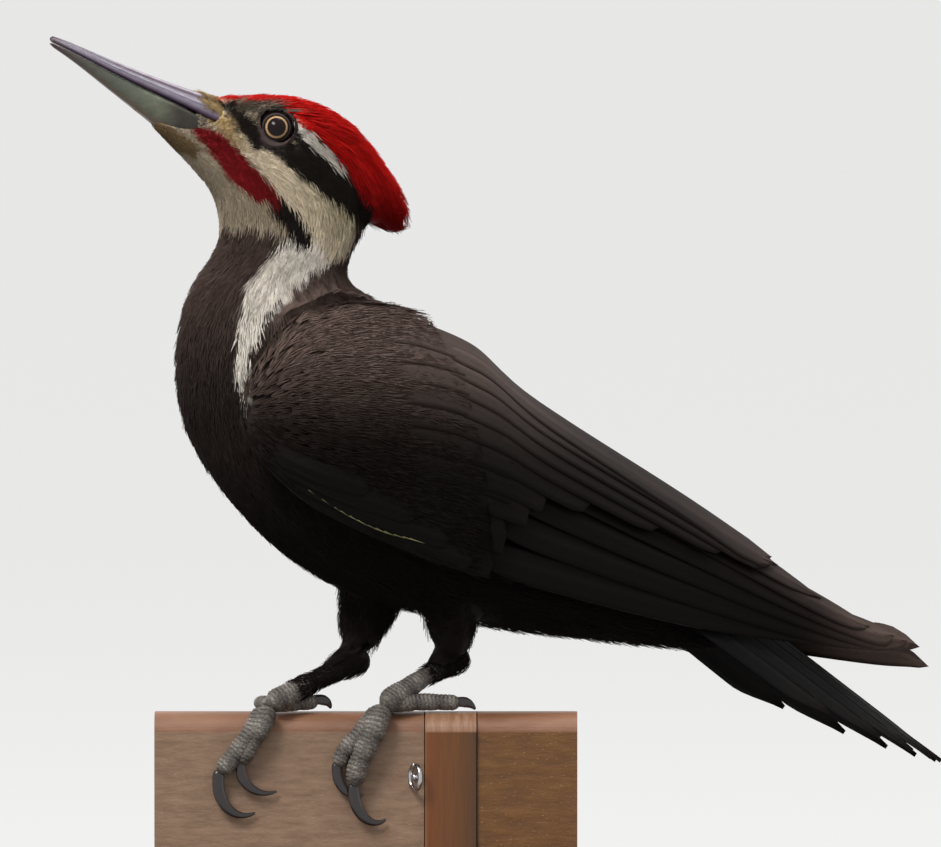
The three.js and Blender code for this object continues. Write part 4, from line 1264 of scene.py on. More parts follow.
# Paths and radii in mm, in the perch's frame: x along the board, z up from its top.
# A claw is [start, heading, curl, [length, reach], turn in degrees].
LEGS = {
    "left": {
        "tarsus": [[[11.6, 7.6, 17.6], [-1, -1.8, 11.4], [-14.6, -11.2, 2.6]], [3.7, 2.9, 4.3]],
        "toes": {
            1: [[[-13.8, -9, 3], [-13, -3, 3], [-13.4, 3, 2.5]], [2.6, 2.2, 1.9]],
            2: [
                [[-15.6, -11.2, 1.6], [-21.6, -13.3, -6], [-26.6, -13.2, -11.6], [-28.8, -13, -16.4]],
                [3.2, 2.9, 2.7, 2.4],
            ],
            3: [
                [[-14.6, -11.2, 2.4], [-17.3, -14.4, -4.5], [-22.2, -14.4, -15.6], [-23.6, -13.9, -22.6]],
                [4, 3.9, 3.3, 2.9],
            ],
            4: [
                [[-14.6, -10.4, 3], [-5.6, -7.2, 3.4], [2.2, -5, 3.3], [9.4, -3.6, 3]],
                [3.2, 2.8, 2.6, 2.3],
            ],
        },
        "claws": {
            1: [[-13.5, 3.4, 2.8], [0, 1, 0], [0, 0, -1], [4.4, 4.4], 54],
            2: [[-29, -12.9, -17.2], [0, 0, -1], [1, 0.1, 0], [8.4, 6.4], 108],
            3: [[-23.7, -13.7, -23.6], [0, 0, -1], [1, 0.2, 0], [10.4, 7.2], 115],
            4: [[9.8, -3.5, 3.3], [1, 0.1, 0], [0, 0, -1], [5.2, 5.2], 58],
        },
    },
    "right": {
        "tarsus": [[[-19.2, 1.5, 17.4], [-34, -4.7, 10.9], [-50.4, -11.2, 2.8]], [3.7, 2.8, 4.2]],
        "toes": {
            1: [[[-50.6, -8.8, 3], [-52.4, -3, 3], [-53.6, 3, 2.5]], [2.6, 2.2, 1.9]],
            2: [
                [[-50.4, -11.6, 2], [-52.2, -14.2, -3], [-56.6, -14.1, -10.4], [-58.8, -13.6, -15.6]],
                [3.6, 3.3, 2.9, 2.6],
            ],
            3: [
                [[-51.4, -11.2, 1.6], [-54.8, -13.9, -5], [-59.8, -13.9, -11.6], [-65.6, -13.5, -18.4]],
                [3.8, 3.5, 3.1, 2.8],
            ],
            4: [
                [[-50, -10.2, 3.2], [-44.6, -6.6, 3.2], [-39.4, -4.2, 3.3], [-35, -2.8, 3.4]],
                [3.1, 2.8, 2.6, 2.3],
            ],
        },
        "claws": {
            1: [[-53.7, 3.4, 2.8], [-0.1, 1, 0], [0, 0, -1], [4.4, 4.4], 54],
            2: [[-59, -13.5, -16.8], [0, 0, -1], [1, 0.15, 0], [8, 8.2], 113],
            3: [[-65.9, -13.4, -19.6], [-0.1, 0, -1], [1, 0.15, 0], [12.2, 9.3], 112],
            4: [[-34.7, -2.7, 4], [1, 0.1, 0], [0, 0, -1], [3.6, 2.9], 90],
        },
    },
}
SHANK_COVER = {"left": 0.42, "right": 0.66}  # the share of each shank that feathers cover, from the heel
FOOT_SIDES = 52  # points round a shank or toe
CLAW_TAPER = [1.9, 1.95, 1.6, 1.0, 0.4]  # mm, the third claw's radii from its root to its tip
CLAW_SCALE = {1: 0.6, 2: 0.85, 3: 1, 4: 0.85}
CLAW_ROOT = 2.4  # mm, how far a claw's root reaches back into the toe
CLAW_BURIED = 1.8  # mm, the third claw's radius there
CLAW_FLATNESS = 0.72  # a claw's width as a share of its depth
CLAW_DARK, CLAW_PALE = rgb(32, 23, 24), rgb(93, 84, 88)


def perch_to_world(points):
    return (points + [0, 0, PERCH_TOP]) * MM


def perch_unwrap(points):
    return 0.5 + points[:, [0, 2]] / 250


def tube(path, radii, rows, sides, relief, up=(0, 0, 1), flat=(1, 1)):
    """A closed tube along a path: points as (row, side, xyz), the angle round it, and the mm along it."""
    v = np.linspace(0, 1, rows)
    line = spline(path, v)
    radius = spline(np.array(radii, float)[:, None], v)[:, 0]
    along = unit(np.gradient(line, axis=0))
    side = unit(np.cross(along, np.broadcast_to(up, along.shape)))
    top = np.cross(side, along)
    angle = np.linspace(0, 2 * math.pi, sides, endpoint=False)
    length = np.concatenate([[0], np.cumsum(np.linalg.norm(np.diff(line, axis=0), axis=1))])
    size = radius[:, None] + relief(length[:, None], angle[None, :], radius[:, None])
    end = np.clip(np.minimum(length, length[-1] - length) / radius, 0, 1)
    size = size * np.sqrt(np.clip(1 - (1 - end) ** 2, 0.0004, 1))[:, None]
    wide = flat[0] * np.cos(angle)[:, None] * side[:, None]
    high = flat[1] * np.sin(angle)[:, None] * top[:, None]
    return line[:, None] + (wide + high) * size[..., None], angle, length


def toe_relief(length, angle, radius):
    """Small scutes over a toe's top, pads under it, and warts all round."""
    over = ease(np.sin(angle), -0.2, 0.6)
    under = ease(-np.sin(angle), 0.0, 0.6)
    scute = (np.abs(np.sin((length / 1.3 + 0.12 * np.sin(angle * 3)) * math.pi)) ** 0.6 - 0.62) * 0.3
    pad = (np.abs(np.sin(length / 3.6 * math.pi)) ** 0.7 - 0.6) * 0.16
    warts = 0.1 * np.sin(length * 5.3 + 1.7 * np.sin(angle * 5))
    warts = warts * np.sin(angle * 13 + 1.3 * np.sin(length * 1.9))
    knuckle = 0.09 * np.cos(length / 7.3 * 2 * math.pi)
    return (scute * (0.35 + 0.65 * over) + pad * under + warts + knuckle - 0.1) * radius / 3.2


def horn_colour(points, relief_share):
    """Grey scales, with an uneven painted highlight on their raised tops and painted shade in their creases.
    """
    # a painted highlight on the raised tops of the scales, and painted shade in their creases
    painted_top_highlight = ease(relief_share, 0.55, 0.95) * (0.4 + 0.5 * (0.5 + 0.5 * waves(points, 4, 77)))
    painted_crease_shade = 0.9 * (1 - ease(relief_share, 0.1, 0.5))
    pale, dark = rgb(170, 163, 154), rgb(38, 28, 27)
    return paint_layers(rgb(101, 95, 89), points.shape, (pale, painted_top_highlight), (dark, painted_crease_shade))


def foot_part(side, name, path, radii):
    """The points and colours of a shank or a toe."""
    rows = 150 if name == "tarsus" else 130
    grid, angle, length = tube(path, radii, rows, FOOT_SIDES, toe_relief)
    height = toe_relief(length[:, None], angle[None, :], np.full((rows, 1), 3.2))
    colour = horn_colour(grid, (height - height.min()) / (height.max() - height.min()))
    if name == "tarsus":
        # painted shade: where feathers cover the shank, it is painted near black, darker than the feathers
        covered = 1 - ease(length / length[-1], SHANK_COVER[side] - 0.1, SHANK_COVER[side] + 0.05)
        colour = paint_over(colour, BROWN_BLACK * 0.1, covered[:, None] * np.ones(FOOT_SIDES))
    return grid, colour


def make_foot(side):
    """A shank and its four toes as one piece."""
    shapes = {"tarsus": LEGS[side]["tarsus"]} | LEGS[side]["toes"]
    points, faces, colours, start = [], [], [], 0
    for name, (path, radii) in shapes.items():
        grid, colour = foot_part(side, name, path, radii)
        points.append(grid.reshape(-1, 3))
        colours.append(colour.reshape(-1, 3))
        faces.append(grid_faces(1, len(grid), FOOT_SIDES, closed=True) + start)
        start += len(points[-1])
    points = np.vstack(points)
    make_piece(
        f"Foot{side.title()}",
        perch_to_world(points),
        np.vstack(faces),
        HORN_SKIN,
        perch_unwrap(points),
        np.vstack(colours),
        replaced=[f"tarsus_{side}"] + [f"toe_{side}_{toe}" for toe in LEGS[side]["toes"]],
    )


def claw_relief(length, angle, radius):
    """A groove along each side of a claw, and faint growth rings."""
    groove = -0.07 * np.exp(-((np.abs(np.sin(angle)) - 1) ** 2) / 0.02)
    return radius * (groove + 0.008 * np.sin(length * 7))


def make_claw(side, toe, rows=60, sides=28):
    """A claw that curls on an ellipse from its start, paler along its inner side."""
    start, heading, curl, (length, reach), turn = LEGS[side]["claws"][toe]
    share = np.linspace(0, 1, 9)
    q = share[:, None] * math.radians(turn)
    way, inward = unit(np.array(heading, float)), unit(np.array(curl, float))
    path = np.array(start) + way * length * np.sin(q) + inward * reach * (1 - np.cos(q))
    path = np.vstack([path[:1] - way * CLAW_ROOT, path])
    taper = np.interp(share, np.linspace(0, 1, len(CLAW_TAPER)), CLAW_TAPER)
    radii = np.array([CLAW_BURIED, *taper]) * CLAW_SCALE[toe]
    grid, _, _ = tube(path, radii, rows, sides, claw_relief, np.cross(way, inward), (1, CLAW_FLATNESS))
    inner = unit(grid - grid.mean(axis=1, keepdims=True)) @ inward
    colour = paint_layers(CLAW_DARK, grid.shape, (CLAW_PALE, 0.6 * ease(inner, 0.45, 0.95)))
    points = grid.reshape(-1, 3)
    make_piece(
        f"Claw{side.title()}{toe}",
        perch_to_world(points),
        grid_faces(1, rows, sides, closed=True),
        CLAW_HORN,
        perch_unwrap(points),
        colour.reshape(-1, 3),
        replaced=[f"claw_{side}_{toe}"],
    )


for foot_side in SIDES:
    make_foot(foot_side)
    for claw_toe in LEGS[foot_side]["claws"]:
        make_claw(foot_side, claw_toe)


# ---------------------------------------------------------------- where tufts grow
WING_PARTS = ["arm", "secondaries", "primaries"]
WINGS = {side: [node_surface(f"wing_{side}_{part}") for part in WING_PARTS] for side in SIDES}
HIDDEN_UNDER = 16.0  # mm, how far out a wing hides the skin beneath it
RIM_FACING = 0.985  # the skin's rim round the bill's base faces along the bill more nearly than this cosine
BEHIND_EYE = 1.1  # mm, how far feathers come in over the ring behind an eye
SKIN_CENTRES = SKIN.points[SKIN.faces].mean(axis=1)
SKIN_REGIONS = region_of(SKIN_CENTRES)


def under_wing(points, normals):
    """Whether a wing lies over each point."""
    hidden = np.zeros(len(points), bool)
    surfaces = [surface for wing in WINGS.values() for surface in wing]
    for i, (point, normal) in enumerate(zip(points, normals)):
        origin, way = Vector(point + normal * 1.5), Vector(normal)
        met = (surface.tree.ray_cast(origin, way, HIDDEN_UNDER)[0] for surface in surfaces)
        hidden[i] = any(place is not None for place in met)
    return hidden


def under_bill(points):
    """Whether each point lies inside the bill."""
    inside = np.zeros(len(points), bool)
    for horn in BILL:
        places, normals, _ = horn.nearest(points)
        inside |= dot(points - places, normals)[:, 0] < 0.1
    return inside


def region_roots(names, spacing, seed):
    """Roots over the skin's regions of these names, but not under the bare rings, the bill or the wings."""
    wanted = np.isin(SKIN_REGIONS, [FLESH.index(name) for name in names])
    points, normals = SKIN.scatter(spacing, seed, wanted)
    at_bill = (points[:, 0] < -68) & (points[:, 2] > 174)
    rim = at_bill & (normals @ BILL_LINE > RIM_FACING)
    bare = np.where(points[:, 0] > EYE["x"] + 1, BARE_RING - BEHIND_EYE, BARE_RING)
    kept = (near_eye(points) > bare) & ~rim
    points, normals = points[kept], normals[kept]
    if "trunk" in names:
        kept = ~under_wing(points, normals)
        points, normals = points[kept], normals[kept]
    return points, normals


DOWN = feather_material("FeatherSoft", 0.7, 0.01, 0.00006)
GLOSS = feather_material("FeatherGloss", 0.55, 0.0, 0.00005, barbs=9.0)
RED_DOWN = feather_material("FeatherRed", 0.6, 0.02, 0.00005)


def head_length(points):
    """Short at the bill and round the eyes, and longer towards the nape and throat."""
    x, z = points[:, 0], points[:, 2]
    length = 3.0 + 4.4 * ease(x, -78, -50) + 3.0 * ease(-z, -166, -150)
    to_ring = np.abs(near_eye(points) - BARE_RING)
    before_eye = x < EYE["x"]
    return np.where(before_eye, np.minimum(length, 1.3 + 0.6 * to_ring), np.minimum(length, 3 + to_ring))


def grow_head():
    roots, normals = region_roots(["head"], 0.95, 11)
    clear = (roots[:, 0] > -101) & ~under_bill(roots)
    coat(
        "HeadFeathers", SKIN, roots[clear], normals[clear], body_lie, "head_feathers", DOWN, seed=12,
        length=head_length, width=lambda p: 0.3 + 0.13 * head_length(p),
        rise=lambda p: 0.35 + 0.05 * head_length(p),
        spread=0.8, root_shade=0.94, vary=0.1, paint=lambda p: markings(p, 0.2),
    )


def grow_forehead():
    """Very short feathers where the head and crest turn forward, down on to the bill's base."""
    roots, normals = region_roots(["head", "crest"], 0.6, 31)
    clear = (normals @ BILL_LINE > 0.2) & (roots[:, 0] < -62) & (roots[:, 2] > 176) & ~under_bill(roots)
    coat(
        "ForeheadFeathers", SKIN, roots[clear], normals[clear], body_lie, "head_feathers", DOWN, seed=32,
        length=1.5, width=0.55, rise=0.55, loose=0.5, spread=0.8, vary=0.1,
        painted_at_root=True, paint=lambda p: markings(p, 0.2),
    )


BRISTLES = 390  # tufts over both nostrils


def grow_bristles():
    """Bristly tufts that lie forward over the nostrils, from the forehead on to the bill."""
    rng = np.random.default_rng(23)
    across = rng.uniform(-1, 1, BRISTLES)
    back = rng.random(BRISTLES)
    start = np.stack([-67.6 - 7.0 * back, across * 7.0, 190.6 + 3.2 * back - 4.6 * across**2], axis=1)
    roots, normals, _ = BILL[0].nearest(start)
    coat(
        "NasalBristles", BILL[0], roots, normals, BILL_LINE, "head_feathers", DOWN, seed=24, rows=5,
        length=lambda p: 2.0 + 2.4 * rng.random(len(p)), width=0.28,
        rise=lambda p: 0.25 + 0.35 * rng.random(len(p)),
        loose=0.3, spread=2.2, skew=0.2, vary=0.2, paint=BUFF,
    )


# [x, z] of the line on the lower bill below which the chin is feathered
CHIN_LINE = np.array(
    [[-101.6, 190.8], [-96.3, 187.1], [-91, 184], [-87.9, 181.9], [-83.1, 179.1], [-80.5, 177.8]]
)


def grow_bill_edge():
    """The feathers that close over the bill's base behind its bare horn, and over the chin below it."""
    for name, horn, gape in (("BillEdgeUpper", BILL[0], -72.4), ("BillEdgeLower", BILL[1], -79.5)):
        x, z = horn.points[horn.faces].mean(axis=1)[:, [0, 2]].T
        on_chin = (x > CHIN_LINE[0, 0]) & (z < np.interp(x, *CHIN_LINE.T))
        roots, normals = horn.scatter(0.8, 27, (x > gape) | on_chin)
        coat(
            name, horn, roots, normals, body_lie, "head_feathers", DOWN, seed=28,
            length=3.0, width=0.6, rise=0.6, loose=0.5,
            skew=0.14, root_shade=0.85, paint=lambda p: markings(p, 0.3),
        )


def grow_crest():
    roots, normals = region_roots(["crest"], 1.0, 13)
    clear = (roots[:, 0] > -74) & ~under_bill(roots)
    coat(
        "CrestFeathers", SKIN, roots[clear], normals[clear], crest_lie, "crest_feathers", RED_DOWN, seed=14,
        length=lambda p: 5 + 8.5 * ease(p[:, 0], -68, -40), width=1.0,
        rise=lambda p: 1.0 + 1.2 * ease(p[:, 0], -66, -40),
        rows=5, loose=0.4, spread=0.8, skew=0.05, painted_at_root=True, paint=lambda p: markings(p, 0.3),
    )


def grow_neck():
    roots, normals = region_roots(["neck"], 1.2, 15)
    coat(
        "NeckFeathers", SKIN, roots, normals, body_lie, "body_feathers", DOWN, seed=16, strands=4,
        length=lambda p: 7 + 2 * ease(-p[:, 2], -150, -120), width=1.1, rise=1.2,
        skew=0.07, root_shade=0.98, vary=0.08, paint=lambda p: markings(p, 0.25),
    )


def grow_body():
    roots, normals = region_roots(["trunk"], 1.9, 17)
    coat(
        "BodyFeathers", SKIN, roots, normals, body_lie, "body_feathers", DOWN, seed=18, strands=4,
        length=lambda p: 9.5 + 3.5 * ease(-p[:, 2], -90, -40), width=2.1,
        rise=lambda p: 0.9 + 1.2 * ease(-p[:, 2], -60, -30),
        spread=0.95, skew=0.05, root_shade=0.93, vary=0.08, paint=lambda p: markings(p, 0.4),
    )


def grow_thighs():
    for side in SIDES:
        roots, normals = region_roots([f"thigh_{side}"], 1.5, 19)
        coat(
            f"ThighFeathers{side.title()}", SKIN, roots, normals, thigh_lie(side), "body_feathers", DOWN,
            seed=20, length=lambda p: 7.5 + 3 * ease(-p[:, 2], -34, -22), width=1.3,
            rise=lambda p: 1.1 - 0.8 * ease(-p[:, 2], -34, -22),
            strands=4, loose=0.25, root_shade=0.7, paint=BROWN_BLACK * 0.24,
        )


def grow_shanks():
    """The short feathers that run down from the heel over the shank."""
    rows, sides = 100, 40
    for side in SIDES:
        path, radii = LEGS[side]["tarsus"]
        grid, _, _ = tube(path, radii, rows, sides, toe_relief)
        faces = triangles(grid_faces(1, rows, sides, closed=True))
        shank = Surface(perch_to_bird(grid.reshape(-1, 3)), faces)
        heel, _, foot = perch_to_bird(path)
        down = unit(foot - heel)
        place = (shank.points[shank.faces].mean(axis=1) - heel) @ down / np.linalg.norm(foot - heel)
        roots, normals = shank.scatter(0.8, 25, place < SHANK_COVER[side])
        coat(
            f"ShankFeathers{side.title()}", shank, roots, normals, down, "body_feathers", DOWN, seed=26,
            length=lambda p: 4.6 + 2.4 * ease((heel - p) @ down, -12, 0), width=0.9,
            rise=lambda p: 0.6 + 0.8 * ease((heel - p) @ down, -10, 0),
            skew=0.12, root_shade=0.84, paint=BROWN_BLACK * 0.2,
        )


def grow_wing_coat():
    """The small rounded coverts over the fore part of each wing, and the scapulars above them."""
    for side in SIDES:
        arm = SURFACES[f"wing_{side}_arm"]
        outward = arm.face_normals @ [0, SIDES[side], 0.3] > -0.2
        roots, normals = arm.scatter(1.8, 21, outward)
        coat(
            f"WingCoverts{side.title()}", arm, roots, normals, wing_lie(side), "flight_feathers", GLOSS,
            seed=22, length=lambda p: 6 + 6 * ease(p[:, 0], -72, -30),
            width=lambda p: 1.7 + 0.9 * ease(p[:, 0], -72, -30),
            rise=0.3, rows=5, strands=5, spread=0.85, skew=0.02, camber=0.06, root_shade=0.98, vary=0.04,
            # the plumage with its painted shade and sheen, a little brighter
            paint=lambda p: plumage_with_painted_light(p) * 1.35,
        )


PALE_EDGE = [[-56, 73.2], [-46, 66.6], [-38, 62], [-30, 58.6], [-22.5, 56.4]]  # [x, z] along the fore wing


def grow_pale_edges():
    """The thin pale edge of a lower covert, as a row of narrow barbs end to end."""
    for side, sign in SIDES.items():
        line = spline(np.array(PALE_EDGE), np.linspace(0, 1, 12))
        start = np.stack([line[:, 0], np.full(len(line), sign * 45.0), line[:, 1]], axis=1)
        surface = SURFACES[f"wing_{side}_arm"]
        roots = surface.under(start, np.array([0.0, -sign, 0.0]))
        normals = surface.nearest(roots)[1]
        way = unit(np.gradient(roots, axis=0))
        coat(
            f"PaleEdge{side.title()}", surface, roots, normals, way, "flight_feathers", GLOSS, seed=29,
            length=6.4, width=0.7, rise=1.7, rows=5, strands=1, skew=0.0, root_shade=1.0, vary=0.1,
            paint=rgb(122, 118, 82),
        )


grow_head()
grow_forehead()
grow_bristles()
grow_bill_edge()
grow_crest()
grow_neck()
grow_body()
grow_thighs()
grow_shanks()
grow_wing_coat()
grow_pale_edges()


# ---------------------------------------------------------------- flight feathers
def vane_ring(columns=7, thick=0.28):
    """[share across, mm up] round a flight feather: its face with a raised shaft, and its back."""
    line = np.linspace(-1, 1, columns)
    face = np.stack([line, 0.3 * line_at(line, 0, 0.16)], axis=1)
    back = np.stack([line[::-1], np.full(columns, -thick)], axis=1)
    return np.vstack([face, back])


FLIGHT_RING = vane_ring()
SHAFT, UNDER_SHAFT = 3, 10  # places round the ring


def feather_width(v, tip):
    """The half width along a flight feather, as a share: its tip from 0, pointed, to 1, round."""
    body = 0.5 + 0.5 * ease(v, 0, 0.3)
    end = np.sqrt(np.clip(1 - ease(v, 1 - 0.05 - 0.16 * (1 - tip), 1.0) ** 2, 0, 1))
    return body * end + 0.004


def wing_feather(side, start, end, half, lift, tilt, tip, rows=30):
    """A flight feather on the wing: start and end are (s, t), half its half width in mm. Its root sinks."""
    v = np.linspace(0, 1, rows)
    s = start[0] + (end[0] - start[0]) * v
    t = start[1] + (end[1] - start[1]) * ease(v, -0.2, 1.2)
    stations = np.array(WING)
    height = np.linalg.norm(spline(stations[:, 3:6], s) - spline(stations[:, 0:3], s), axis=1)
    across, up = FLIGHT_RING[:, 0], FLIGHT_RING[:, 1]
    width = np.minimum(half * feather_width(v, tip), 0.5 * height)
    reach = width / height
    highest = 0.99 - 0.045 * line_at(s, 0.42, 0.1)
    t = np.clip(t, reach - 0.03, highest - reach)
    t_all = t[:, None] + across[None] * reach[:, None]
    sunk = 1.6 * (1 - ease(v, 0, 0.3))[:, None]
    over = lift - sunk + up[None] - tilt * across[None] * (width / half)[:, None]
    return wing_point(side, np.broadcast_to(s[:, None], t_all.shape), t_all, over), v


def tail_feather(pair, sign, rows=34):
    """A stiff pointed tail feather of a pair, counted from the middle of the tail."""
    v = np.linspace(0, 1, rows)
    along = np.array([math.cos(TAIL["slope"]), 0, -math.sin(TAIL["slope"])])
    up = np.array([math.sin(TAIL["slope"]), 0, math.cos(TAIL["slope"])])
    reach = (TAIL["length"] - TAIL_SHORTER[pair]) * v
    across, high = FLIGHT_RING[:, 0], FLIGHT_RING[:, 1]
    at_root, widest = TAIL_HALF_WIDTHS
    half = at_root + (widest - at_root) * ease(reach / TAIL["length"], 0, 0.75)
    width = 0.15 * feather_width(v, 0.0) * np.where(v > 0.86, np.sqrt(np.clip((1.02 - v) / 0.16, 0, 1)), 1)
    place = sign * (pair + 0.5) / len(TAIL_SHORTER) * 0.92
    share = place + across[None] * width[:, None]
    drop = TAIL["arch"] * share**2 + 0.9 * pair + 0.35 + 0.55 * across[None] * sign
    start = np.array([TAIL["root"][0], 0, TAIL["root"][1]])
    points = start + along * reach[:, None, None] + up * (high[None] - drop)[..., None]
    points[..., 1] += half[:, None] * share
    return points, v


def feather_faces(grid):
    """The faces of a flight feather, turned so that they look out of it."""
    faces = grid_faces(1, len(grid), len(FLIGHT_RING), closed=True)
    shaft = grid[9, SHAFT]
    along, across, up = shaft - grid[8, SHAFT], grid[9, SHAFT + 1] - shaft, shaft - grid[9, UNDER_SHAFT]
    return faces[:, ::-1] if np.linalg.det(np.stack([along, across, up])) > 0 else faces


def flight_piece(name, feathers, paint, *replaced):
    """Joins flight feathers into one piece. Each has its own strip on the bake map."""
    points, colours, bake, barbs, faces, start = [], [], [], [], [], 0
    for number, (grid, v) in enumerate(feathers):
        faces.append(feather_faces(grid) + start)
        start += len(v) * len(FLIGHT_RING)
        points.append(grid.reshape(-1, 3))
        across = np.broadcast_to(FLIGHT_RING[:, 0], (len(v), len(FLIGHT_RING)))
        along = np.broadcast_to(v[:, None], across.shape)
        colours.append(paint(number, grid, across, along).reshape(-1, 3))
        strip = 0.02 + 0.03 * number + 0.012 * (across + 1)
        bake.append(np.stack([strip, 0.02 + 0.9 * along], axis=-1).reshape(-1, 2))
        length = np.linalg.norm(grid[-1, SHAFT] - grid[0, SHAFT]) / 12
        barbs.append(np.stack([across, along * length], axis=-1).reshape(-1, 2))
    make_piece(
        name,
        to_world(np.vstack(points)),
        np.vstack(faces),
        GLOSS,
        np.vstack(bake),
        np.vstack(colours),
        np.vstack(barbs),
        replaced,
    )


VANE_SHARE = 0.5  # a broad smooth vane throws back more light than tufts of the same colour


def wing_paint(number, grid, across, along):
    """Brown-black under the back's painted light, paler on the shaft and towards the tips, which wear paler,
    and with painted shade along the edge that tilts under the next feather.
    """
    colour = plumage_with_painted_light(grid) * VANE_SHARE * (1 + 0.06 * math.sin(number * 2.4))
    colour = paint_over(colour, BROWN_BLACK * 0.85, 0.7 * ease(grid[..., 0], 118, 150))
    colour = colour * (1 + 0.5 * ease(along, 0.7, 1.0) + 0.7 * line_at(across, 0, 0.1))[..., None]
    # painted shade along the edge that lies under the next feather
    return colour * (1 - 0.45 * ease(across, 0.55, 1.0))[..., None]


def covert_paint(number, grid, across, _):
    """Brown-black under the back's painted light, with painted shade along the edge that tilts under the
    next feather.
    """
    colour = plumage_with_painted_light(grid) * VANE_SHARE * (1 + 0.05 * math.sin(number * 1.9))
    # painted shade along the edge that lies under the next feather
    return colour * (1 - 0.3 * ease(across, 0.55, 1.0))[..., None]


def tail_paint(_, grid, across, along):
    """Black, a little paler on the shaft and towards the tip."""
    on_shaft = (rgb(19, 16, 15), 0.6 * line_at(across, 0, 0.12))
    at_tip = (rgb(30, 24, 21), 0.4 * ease(along, 0.8, 1.0))
    return paint_layers(rgb(6, 5, 5), grid.shape, on_shaft, at_tip)


def primary(side, i):
    share = i / 6
    end = (1.03 - 0.13 * float(ease(share, 0.35, 1)) - 0.014 * i, 0.1 + 0.8 * share)
    return wing_feather(side, (0.4, 0.08 + 0.8 * share), end, 5.2, -3.0 + 0.2 * i, 0.6, 0.35)


def secondary(side, i):
    share = i / 7
    t = 0.3 + 0.63 * share
    end = (0.57 + 0.24 * float(ease(t, 0.26, 0.8)), t)
    return wing_feather(side, (0.34, 0.26 + 0.6 * share), end, 6.6, -0.5 + 0.06 * i, 0.5, 0.85)


def greater_covert(side, i):
    share = i / 9
    end = (0.5 + 0.07 * share + 0.02 * math.sin(i * 2.3), 0.06 + 0.86 * share)
    return wing_feather(side, (0.3, 0.06 + 0.8 * share), end, 5.8, -0.4 + 0.03 * i, 0.3, 1.0)


def fore_covert(side, i):
    """A covert of the wing's lower fore edge."""
    share = i / 3
    start, end = (0.16, 0.03 + 0.1 * share), (0.46 - 0.05 * i, 0.03 + 0.13 * share)
    return wing_feather(side, start, end, 3.4, 0.25, 0.3, 0.6)


def grow_wing(side):
    primaries = [primary(side, i) for i in range(7)]
    flight_piece(f"Primaries{side.title()}", primaries, wing_paint, f"wing_{side}_primaries")
    secondaries = [secondary(side, i) for i in range(8)]
    flight_piece(f"Secondaries{side.title()}", secondaries, wing_paint, f"wing_{side}_secondaries")
    coverts = [greater_covert(side, i) for i in range(10)] + [fore_covert(side, i) for i in range(4)]
    flight_piece(f"GreaterCoverts{side.title()}", coverts, covert_paint)


def grow_tail():
    """The tail from its outer pair in, so that the middle pair lies on top."""
    pairs = range(len(TAIL_SHORTER) - 1, -1, -1)
    feathers = [tail_feather(pair, sign) for pair in pairs for sign in (-1, 1)]
    flight_piece("TailFeathers", feathers, tail_paint, "tail")


WING_LINING = painted_material("WingLining", 0.7, 900.0, 0.0001, specular=0.08)
LINING_DEPTH = 3.5  # mm below the wing's face, under all its vanes
LINING_REACH = 5.5  # mm, how far its front end runs on into the fore wing
LINING_SWELL = 3.0  # mm, how far its inner side runs on into the trunk


def make_wing_lining(side):
    """The closed inner layer of a folded wing, which fills it below the secondaries."""
    surface = WINGS[side][WING_PARTS.index("secondaries")]
    points, index = np.unique(np.round(surface.points, 3), axis=0, return_inverse=True)
    whole = Surface(points, index.reshape(-1)[surface.faces])
    depth = np.minimum(LINING_DEPTH, 0.4 * thickness(whole, points, whole.normals))
    inner = 1 - ease(whole.normals[:, 1] * SIDES[side], -0.8, -0.3)
    depth = depth * (1 - inner) - LINING_SWELL * inner
    points = points - whole.normals * depth[:, None]
    points[:, 0] -= LINING_REACH * ease(-whole.normals[:, 0], 0.3, 0.7)
    make_piece(
        f"WingLining{side.title()}",
        to_world(points),
        whole.faces,
        WING_LINING,
        body_map(points),
        # painted shade: the lining is painted at about a third of the plumage's brightness, as the shade
        # under the vanes
        plumage_with_painted_light(points) * 0.35,
    )


for wing_side in SIDES:
    make_wing_lining(wing_side)
    grow_wing(wing_side)
grow_tail()


# ---------------------------------------------------------------- perch and stand
def paint_node(node, material):
    mesh = NODES[node].data
    mesh.materials.clear()
    mesh.materials.append(material)


paint_node("stand_perch_board", board_material())
paint_node("stand_perch_strip", strip_material())
paint_node("stand_base", base_material())
ROD_STEEL = steel_material("RodSteel", rgb(150, 152, 156), 0.35, (1, 1, 0.05))
for rod in ("stand_rod_1", "stand_rod_2"):
    paint_node(rod, ROD_STEEL)


SCREW_PLACE = (-4.6, -10.0, 62.2)  # mm from the middle of the stand, on the board's face
SCREW_SWING = math.radians(62)  # how far its ring is turned edge on
RING_HALF_WIDTH, RING_HALF_HEIGHT = 3.4, 3.9  # mm, to the middle of its wire
RING_OUT = 2.6  # mm, how far its middle stands out of the board
WIRE, SHANK = 0.75, 1.1  # mm, radii


def make_screw_eye():
    """A wire ring on its shank, turned partly edge on, as it stands out of the board."""
    turn = np.linspace(0, 2 * math.pi, 73)
    across, out = math.cos(SCREW_SWING), math.sin(SCREW_SWING)
    wide = RING_HALF_WIDTH * np.sin(turn)
    path = np.stack([wide * across, -wide * out - RING_OUT, RING_HALF_HEIGHT * np.cos(turn)], axis=1)
    ring, _, _ = tube(path, [WIRE] * 8, 140, 20, no_relief, up=(out, across, 0))
    shank, _, _ = tube([[0, -2.2, 0], [0, 0, 0], [0, 2, 0]], [SHANK] * 3, 20, 20, no_relief)
    points = np.vstack([ring.reshape(-1, 3), shank.reshape(-1, 3)]) + SCREW_PLACE
    faces = np.vstack([grid_faces(1, 140, 20, closed=True), grid_faces(1, 20, 20, closed=True) + 140 * 20])
    steel = steel_material("ScrewSteel", rgb(190, 190, 192), 0.22, (1, 1, 1))
    bake = points[:, [0, 2]] / 100
    make_piece("ScrewEye", points * MM, faces, steel, bake, replaced=["stand_perch_screw"])


def no_relief(length, angle, radius):
    return 0 * length * angle * radius


make_screw_eye()


